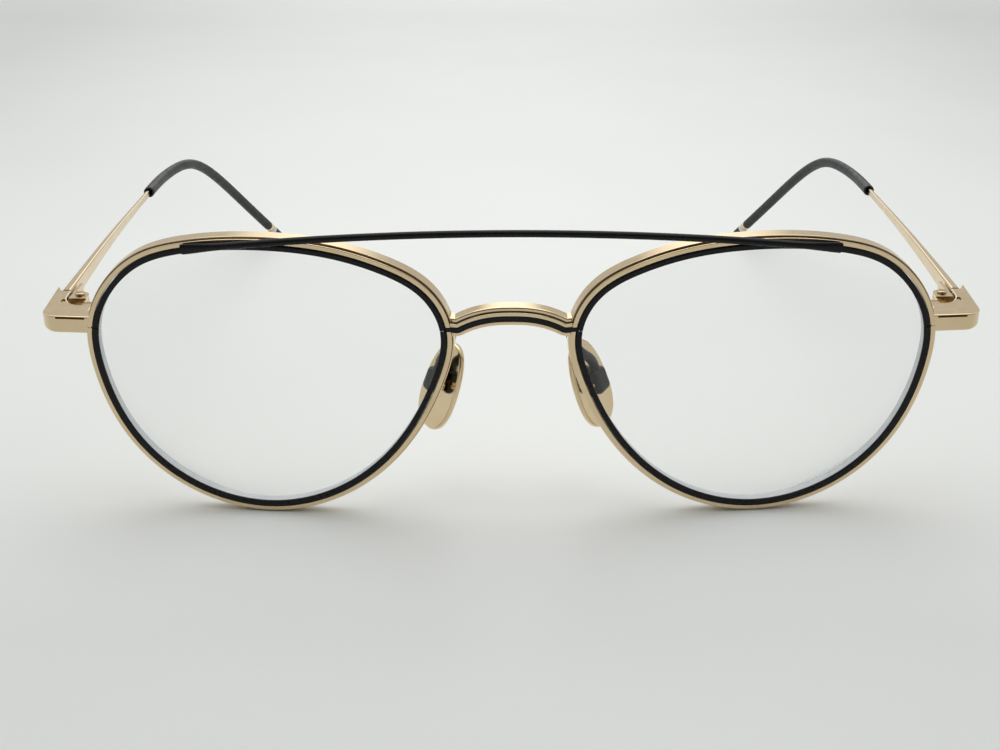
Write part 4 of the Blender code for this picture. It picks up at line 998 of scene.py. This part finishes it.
def endpiece_plan():
    """The endpiece seen from above, as across and depth, from the rim outwards."""
    root = SIDE.x - RIM_OUTER + RIM_INNER + RIM_BODY_SOFT
    turn = ENDPIECE_FRONT + ENDPIECE_SWEEP
    back = ENDPIECE_FRONT + ENDPIECE_LENGTH
    bar_back = ENDPIECE_FRONT + ENDPIECE_BAR
    rear = ENDPIECE_OUTER + ENDPIECE_FLARE
    corners = [
        (ENDPIECE_OUTER, turn, ENDPIECE_CORNER),
        (rear, back + MITRE_POINT, ENDPIECE_SOFT),
        (rear - MITRE_WIDTH, back - MITRE_LENGTH, ENDPIECE_SOFT),
        (ENDPIECE_INNER, back - MITRE_LENGTH, ENDPIECE_SOFT),
        (ENDPIECE_INNER, bar_back + FILLET_LENGTH, ENDPIECE_CORNER),
        (ENDPIECE_INNER - FILLET_WIDTH, bar_back, ENDPIECE_CORNER),
        (SIDE.x, bar_back, ENDPIECE_SOFT),
        (SIDE.x, ENDPIECE_FRONT + RIM_DEPTH, ENDPIECE_SOFT),
        (root, ENDPIECE_FRONT + RIM_DEPTH, 0.0),
        (root, ENDPIECE_FRONT, 0.0),
    ]
    points, _ = rounded_outline(corners, 10)
    kept = [points[0]]
    for point in points[1:]:
        if math.dist(point, kept[-1]) > SOLDER_SEAM:
            kept.append(point)
    return kept


def build_endpieces():
    plan = [(x, -depth) for x, depth in endpiece_plan()]
    body = plate(plan, ENDPIECE_HEIGHT)
    # The plan's y becomes forwards and its z becomes up, which turns its faces inside out
    upright = Matrix(((1, 0, 0, 0), (0, 0, 1, CENTRE_UP), (0, 1, 0, 0), (0, 0, 0, 1)))
    body.data.transform(upright)
    body.data.flip_normals()
    softened(body, ENDPIECE_SOFT, 4, CORNER_ANGLE)
    start = ENDPIECE_OUTER - ENDPIECE_CORNER
    for vertex in body.data.vertices:
        below = min(max((CENTRE_UP - vertex.co.y) * 2.0 / ENDPIECE_HEIGHT, 0.0), 1.0)
        out = min(max((vertex.co.x - start) / ENDPIECE_CORNER, 0.0), 1.0)
        vertex.co.y += ENDPIECE_CHEEK * below * out * out
    ceiling = CENTRE_UP + ENDPIECE_HEIGHT / 2.0
    left = SIDE.x + SEAM
    slit = block((left, ceiling - SLIT_DROP - SLIT_HEIGHT, -ENDPIECE_FRONT - SLIT_DEPTH),
                 (left + SLIT_LENGTH, ceiling - SLIT_DROP, OVERRUN - ENDPIECE_FRONT))
    combined(body, softened(slit, SLIT_HEIGHT / 3.0), "DIFFERENCE")
    dimple = rod(DIMPLE_WIDTH / 2.0, 2.0 * DIMPLE_DEPTH)
    stretched = Matrix.Diagonal((1.0, DIMPLE_LENGTH / DIMPLE_WIDTH, 1.0, 1.0))
    turned_out = Matrix.Rotation(math.atan2(FILLET_WIDTH, ENDPIECE_LENGTH), 4, "Z")
    back = ENDPIECE_FRONT + ENDPIECE_BAR + FILLET_LENGTH / 2.0
    place = Matrix.Translation((ENDPIECE_INNER + DIMPLE_WIDTH / 4.0, ceiling, -back))
    dimple.data.transform(place @ Matrix.Rotation(QUARTER, 4, "X") @ turned_out @ stretched)
    combined(body, dimple, "DIFFERENCE")
    pair_of_solids("endpiece", body, FRONT)


build_endpieces()


# Hinges and temples, in the frame of the right hinge's axis

HINGE = Matrix.Translation(JOINTS["temple_fold_right"]["pos_m"])


def screw_solid():
    """A slotted screw with its head's underside at the origin and its shank down."""
    shank = -BARREL_STACK - RUNNING_GAP
    points, faces, _ = lathe_data([
        (0.0, SCREW_HEAD_HEIGHT, 0.0),
        (SCREW_HEAD_RADIUS, SCREW_HEAD_HEIGHT, SCREW_SLOT_DEPTH),
        (SCREW_HEAD_RADIUS, 0.0, 0.0),
        (SCREW_RADIUS, 0.0, 0.0),
        (SCREW_RADIUS, shank, 0.0),
        (0.0, shank, 0.0),
    ])

    def build(shape):
        corners = [shape.verts.new(point) for point in points]
        for face in faces:
            shape.faces.new([corners[i] for i in face])
        bmesh.ops.remove_doubles(shape, verts=shape.verts, dist=WELD_REACH)
    reach = SCREW_HEAD_RADIUS + OVERRUN
    slot = block((-reach, -SCREW_SLOT_WIDTH / 2.0, SCREW_HEAD_HEIGHT - SCREW_SLOT_DEPTH),
                 (reach, SCREW_SLOT_WIDTH / 2.0, SCREW_HEAD_HEIGHT + OVERRUN))
    return combined(solid(build), slot, "DIFFERENCE")


def build_hinges():
    bottom = -BARREL_STACK / 2.0
    clear = BARREL_RADIUS + RUNNING_GAP
    leaf = block((-BARREL_RADIUS, -clear - PLATE_THICKNESS, -LEAF_HEIGHT / 2.0),
                 (BARREL_RADIUS, -clear, LEAF_HEIGHT / 2.0))
    for low in (bottom, bottom + 2.0 * (KNUCKLE_HEIGHT + RUNNING_GAP)):
        web = block((-BARREL_RADIUS, -clear - PLATE_THICKNESS / 2.0, low),
                    (BARREL_RADIUS, 0.0, low + KNUCKLE_HEIGHT))
        knuckle = rod(BARREL_RADIUS, KNUCKLE_HEIGHT, low + KNUCKLE_HEIGHT / 2.0)
        leaf = combined(leaf, combined(web, knuckle, "UNION"), "UNION")
    softened(leaf, LEAF_SOFT)
    bore = rod(SCREW_RADIUS + RUNNING_GAP, 2.0 * BARREL_STACK)
    pair_of_solids("hinge_leaf_front", combined(leaf, bore, "DIFFERENCE"), HINGE)
    lift = Matrix.Translation((0.0, 0.0, BARREL_STACK / 2.0 + RUNNING_GAP))
    pair_of_solids("hinge_screw", screw_solid(), HINGE @ lift)


build_hinges()

drop = HINGE.translation.z - SLEEVE_RADIUS
route_start = np.array([ARM_ACROSS, HINGE_SETBACK + BUTT_GAP, 0.0])
route_sizes = np.array([TEMPLE_REACH, TEMPLE_TOE_IN, drop])
route_anchors = [
    route_start + np.array([-inwards, along, -down])
    for along, inwards, down in np.array(ROUTE_SHARES) * route_sizes
]
ROUTE = smooth_line(route_anchors, ROUTE_COUNT)
ROUTE_LENGTH = walked_along(ROUTE)[-1]


def build_arms():
    """The flat tapered bar, and its thin core on through the sleeve."""
    exposed = stretch(ROUTE, 0.0, ARM_EXPOSED - ARM_HEIGHT, ARM_COUNT)
    core_end = ROUTE_LENGTH - CAP_LENGTH - SLEEVE_RADIUS + CAP_BORE_DEPTH / 2.0
    core = stretch(ROUTE, ARM_EXPOSED, core_end, ARM_COUNT)
    left = np.linspace(1.0, 0.0, ARM_COUNT)
    shares = ARM_END_SHARE + (1.0 - ARM_END_SHARE) * left**ARM_TAPER_POWER
    shares = np.concatenate((shares, np.full(ARM_COUNT, CORE_SHARE)))
    half_width = ARM_THICKNESS / 2.0
    half_height = ARM_HEIGHT / 2.0
    section = rounded_outline([
        (-half_width, -half_height, ARM_SOFT),
        (half_width, -half_height, ARM_SOFT),
        (half_width, half_height, ARM_SOFT),
        (-half_width, half_height, ARM_SOFT),
    ], 6)
    route = np.concatenate((exposed, core))
    pair("temple_arm", sweep_data(route, *section, shares), HINGE)


def build_sleeves():
    """A hollow sleeve whose two ends are rounded over."""
    end = ROUTE_LENGTH - COLLAR_LENGTH - BAND_LENGTH - CAP_LENGTH - 3.0 * SEAM
    path = stretch(ROUTE, ARM_EXPOSED, end, SLEEVE_COUNT)
    walked = walked_along(path)
    ends = SLEEVE_SOFT * (1.0 - np.cos(np.linspace(0.0, QUARTER, SLEEVE_END_STEPS)))
    inner = walked[(walked > 2.0 * SLEEVE_SOFT) & (walked < walked[-1] - 2.0 * SLEEVE_SOFT)]
    walk = np.concatenate((ends, inner, walked[-1] - ends[::-1]))
    path = at_distances(path, walked, walk)
    near = np.minimum(np.minimum(walk, walk[-1] - walk), SLEEVE_SOFT) / SLEEVE_SOFT
    radii = SLEEVE_RADIUS - SLEEVE_SOFT * (1.0 - np.sqrt(np.maximum(1.0 - (1.0 - near) ** 2, 0.0)))
    circle = ellipse_outline(SLEEVE_RADIUS, SLEEVE_RADIUS, ROUND_STEPS)
    shell = sweep_data(path, *circle, radii / SLEEVE_RADIUS)
    bore = sweep_data(path, *circle, np.full(len(path), SLEEVE_BORE / SLEEVE_RADIUS))
    offset = len(shell[0])
    points = np.concatenate((shell[0], bore[0]))
    faces = shell[1][:-2]
    normals = shell[2][:-2]
    for face, facing in zip(bore[1][:-2], bore[2][:-2]):
        faces.append(tuple(offset + i for i in face[::-1]))
        normals.append(-facing[::-1])
    last = (len(path) - 1) * ROUND_STEPS
    for j in range(ROUND_STEPS):
        k = (j + 1) % ROUND_STEPS
        faces.append((j, k, offset + k, offset + j))
        normals.append(shell[2][-2][:4])
        faces.append((last + k, last + j, offset + last + j, offset + last + k))
        normals.append(shell[2][-1][:4])
    pair("tip_sleeve", (points, faces, normals), HINGE)


def along_route(distance):
    """A matrix at a distance along the route, with its z axis towards the tip."""
    walked = stretch(ROUTE, distance - SLEEVE_RADIUS, distance + SLEEVE_RADIUS, 3)
    direction = Vector(walked[2] - walked[0]).normalized()
    return Matrix.Translation(Vector(walked[1])) @ direction.to_track_quat("Z", "Y").to_matrix().to_4x4()


def build_tips():
    start = ROUTE_LENGTH - COLLAR_LENGTH - BAND_LENGTH - CAP_LENGTH - 2.0 * SEAM
    for node, length in (("tip_collar", COLLAR_LENGTH), ("tip_band", BAND_LENGTH)):
        data = lathe_data([
            (SLEEVE_BORE, 0.0, 0.0),
            (SLEEVE_RADIUS, 0.0, SEAM),
            (SLEEVE_RADIUS, length, SEAM),
            (SLEEVE_BORE, length, 0.0),
        ])
        pair(node, data, HINGE @ along_route(start))
        start += length + SEAM
    # The profile runs on past the axis, so that the dome's rounding has its full room
    length = ROUTE_LENGTH - start + SLEEVE_RADIUS
    past = -1.1 * SLEEVE_RADIUS
    data = lathe_data([
        (past, CAP_BORE_DEPTH, 0.0),
        (SLEEVE_BORE, CAP_BORE_DEPTH, 0.0),
        (SLEEVE_BORE, 0.0, 0.0),
        (SLEEVE_RADIUS, 0.0, SEAM),
        (SLEEVE_RADIUS, length, SLEEVE_RADIUS),
        (past, length, 0.0),
    ], rounding_steps=10)
    pair("tip_cap", data, HINGE @ along_route(start))


build_arms()
build_sleeves()
build_tips()


# Nose pads

PAD_TURN = Matrix.Rotation(PAD_TILT, 4, "Z") @ Matrix.Rotation(-PAD_SPLAY, 4, "Y")
PAD_RIGHT = Matrix.Translation(
    (PAD_PIVOT_ACROSS, LENS_CENTRE_UP - PAD_PIVOT_BELOW, -PAD_PIVOT_BACK)) @ PAD_TURN
PAD_LEFT = Matrix.Translation((-PAD_BEND_LEFT, 0.0, 0.0)) @ PAD_RIGHT


def pad_solid(drop):
    """The metal pad, set below its screw, with the lug on its back that the box holds."""
    angles = 2.0 * math.pi * np.arange(PAD_COUNT) / PAD_COUNT
    squared = np.copysign(np.abs(np.sin(angles)) ** PAD_END_FULLNESS, np.sin(angles))
    bulged = np.copysign(np.abs(np.cos(angles)) ** PAD_SIDE_FULLNESS, np.cos(angles))
    widths = PAD_WIDTH * (1.0 - PAD_TAPER_SHARE * squared)
    outline = np.stack((bulged * widths / 2.0, squared * PAD_LENGTH / 2.0), axis=1)
    pad = softened(plate(outline, PAD_THICKNESS), PAD_SOFT, 5, CORNER_ANGLE)
    pad.data.transform(Matrix.Rotation(-QUARTER, 4, "Y"))
    middle = -PAD_STANDOFF - PAD_THICKNESS / 2.0
    pad.data.transform(Matrix.Translation((middle, -drop, 0.0)))
    lug = block((middle, -STUD_LENGTH / 2.0, -STUD_WIDTH / 2.0),
                (STUD_PAST, STUD_LENGTH / 2.0, STUD_WIDTH / 2.0))
    return combined(pad, lug, "UNION")


def pad_arm_data(place):
    """The bent wire from the rim's back, beside the nose, to the top of the box."""
    start = rim_face(BRIDGE_RISE - BRIDGE_HEIGHT, -1, (RIM_INNER + RIM_OUTER) / 2.0)
    start.z -= RIM_DEPTH
    middle = BOX_DEPTH / 2.0 - BOX_MOUTH
    end = place @ Vector((middle, BOX_LENGTH / 2.0 - BOX_WALL / 2.0, 0.0))
    over = place @ Vector((middle, BOX_LENGTH / 2.0 + SEAT_GAP + PAD_ARM_RADIUS, 0.0))
    way = over - start
    anchors = [
        (start.x + way.x * across, start.y + way.y * down, start.z + way.z * back)
        for across, down, back in PAD_ARM_SHARES
    ]
    line = smooth_line([*anchors, end], PAD_ARM_COUNT)
    # The wire runs level and backwards, so it is swept with z and y exchanged
    exchanged = line[:, [0, 2, 1]] * np.array((1.0, -1.0, 1.0))
    return sweep_data(exchanged, *ellipse_outline(PAD_ARM_RADIUS, PAD_ARM_RADIUS, WIRE_SIDES))


def build_pads():
    drops = (PAD_DROP, PAD_DROP + PAD_SLIP_LEFT)
    for side, place, drop in zip(SIDES, (PAD_RIGHT, PAD_LEFT), drops):
        pad = pad_solid(drop)
        solid_piece(f"nose_pad_{side}", pad, FRONT @ place)
        bpy.data.objects.remove(pad, do_unlink=True)
    box = block((-BOX_MOUTH, -BOX_LENGTH / 2.0, -BOX_WIDTH / 2.0),
                (BOX_DEPTH - BOX_MOUTH, BOX_LENGTH / 2.0, BOX_WIDTH / 2.0))
    softened(box, BOX_SOFT, 7)
    inner_length = BOX_LENGTH / 2.0 - BOX_WALL
    inner_width = BOX_WIDTH / 2.0 - BOX_WALL
    room = block((-BOX_MOUTH - OVERRUN, -inner_length, -inner_width),
                 (BOX_DEPTH - BOX_MOUTH - BOX_WALL / 2.0, inner_length, inner_width))
    combined(box, room, "DIFFERENCE")
    pair_of_solids("pad_box", box, FRONT @ PAD_RIGHT, FRONT @ PAD_LEFT)
    upright = FRONT @ Matrix.Rotation(-QUARTER, 4, "X")
    for side, place in zip(SIDES, (PAD_RIGHT, PAD_LEFT)):
        piece(f"pad_arm_{side}", pad_arm_data(place), upright)


build_pads()

# CAD nodes whose shape stays
for node, item in frame["nodes"].items():
    for place in item.material_slots:
        place.material = FINISHES[SLOTS[node]]


# Table, surroundings and light

def table_finish():
    """White paper painted with light and shade, darker towards its front and its sides, with a faint mottle."""
    finish = Finish("floor", (0.8, 0.8, 0.8), 0.6)
    x, y, _ = finish.axes(finish.place)
    # The ramp paints light and shade along the table, from its front to its back
    ramp = finish.nodes.new("ShaderNodeValToRGB")
    stops = ramp.color_ramp.elements
    # The ramp's own last stop stays white
    for place, tone in TABLE_SHADE_TONES:
        at = (place - TABLE_START) / (TABLE_END - TABLE_START)
        stop = stops.new(at) if at > 0.0 else stops[0]
        stop.color = (*(tone * tint for tint in TABLE_TINT), 1.0)
    finish.feed(ramp.inputs["Fac"], finish.ranged(y, 0.0, 1.0, TABLE_START, TABLE_END))
    # Painted shade towards the sides, multiplied by the paper's own faint mottle
    sides = finish.ranged(finish.joined("MULTIPLY", x, x), *TABLE_SIDE_SHADE)
    mottle = finish.ranged(finish.noise(14.0, 2.0), *TABLE_MOTTLE)
    both = finish.joined("MULTIPLY", sides, mottle)
    shaded = {0: ramp.outputs["Color"], "Scale": both}
    finish.put("Base Color", finish.step("VectorMath", shaded, "Vector", operation="SCALE"))
    return finish.material


def build_table():
    floor_mesh = bpy.data.meshes.new("floor")
    corners = [(x * TABLE_REACH, y * TABLE_REACH, 0.0) for x, y in ((-1, -1), (1, -1), (1, 1), (-1, 1))]
    floor_mesh.from_pydata(corners, [], [(0, 1, 2, 3)])
    floor_mesh.materials.append(table_finish())
    floor = added("floor", floor_mesh)


def build_world():
    """A soft room: bright behind the glasses, greyer towards the viewer and to the sides."""
    world = bpy.data.worlds.new("studio")
    bpy.context.scene.world = world
    room = Graph(world)
    direction = room.step("TexCoord", {}, "Generated")
    x, y, z = room.axes(direction)
    wide = room.joined("MULTIPLY", x, x)
    glow = room.joined("MULTIPLY", room.ranged(wide, *GLOW_ACROSS), room.ranged(y, *GLOW_BACK))
    level = room.joined("ADD", room.ranged(y, *ROOM_BACK), room.ranged(z, *ROOM_CEILING))
    total = room.joined("ADD", level, glow)
    near = room.step("VectorMath", {0: direction, 1: VIEWER}, "Value", operation="DOT_PRODUCT")
    background = room.nodes["Background"].inputs
    background["Color"].default_value = ROOM_COLOUR
    shaded = room.joined("MULTIPLY", total, room.ranged(near, *VIEWER_SHADE))
    room.feed(background["Strength"], shaded)


def build_lamp():
    data = bpy.data.lights.new("overhead", "AREA")
    data.size = LAMP_SIZE
    data.energy = LAMP_POWER
    lamp = added("overhead", data)
    lamp.location = LAMP_PLACE
    way = Vector(LAMP_TARGET) - Vector(LAMP_PLACE)
    lamp.rotation_euler = way.to_track_quat("-Z", "Y").to_euler()


def build_camera():
    data = bpy.data.cameras.new("camera")
    data.sensor_width = SENSOR
    data.lens = FOCAL_PIXELS * SENSOR / FRAME_PIXELS
    camera = added("camera", data)
    turn = Matrix.Rotation(-CAMERA_YAW, 4, "Z")
    place = turn @ Vector((CAMERA_ACROSS, -CAMERA_BACK, CAMERA_UP))
    place.y += FRONT_BACK
    tilt = Matrix.Rotation(QUARTER - CAMERA_PITCH, 4, "X")
    camera.matrix_world = Matrix.Translation(place) @ turn @ tilt @ Matrix.Rotation(
        CAMERA_ROLL, 4, "Z")
    bpy.context.scene.camera = camera
    bpy.context.scene.view_settings.view_transform = "Standard"


build_table()
build_world()
build_lamp()
build_camera()
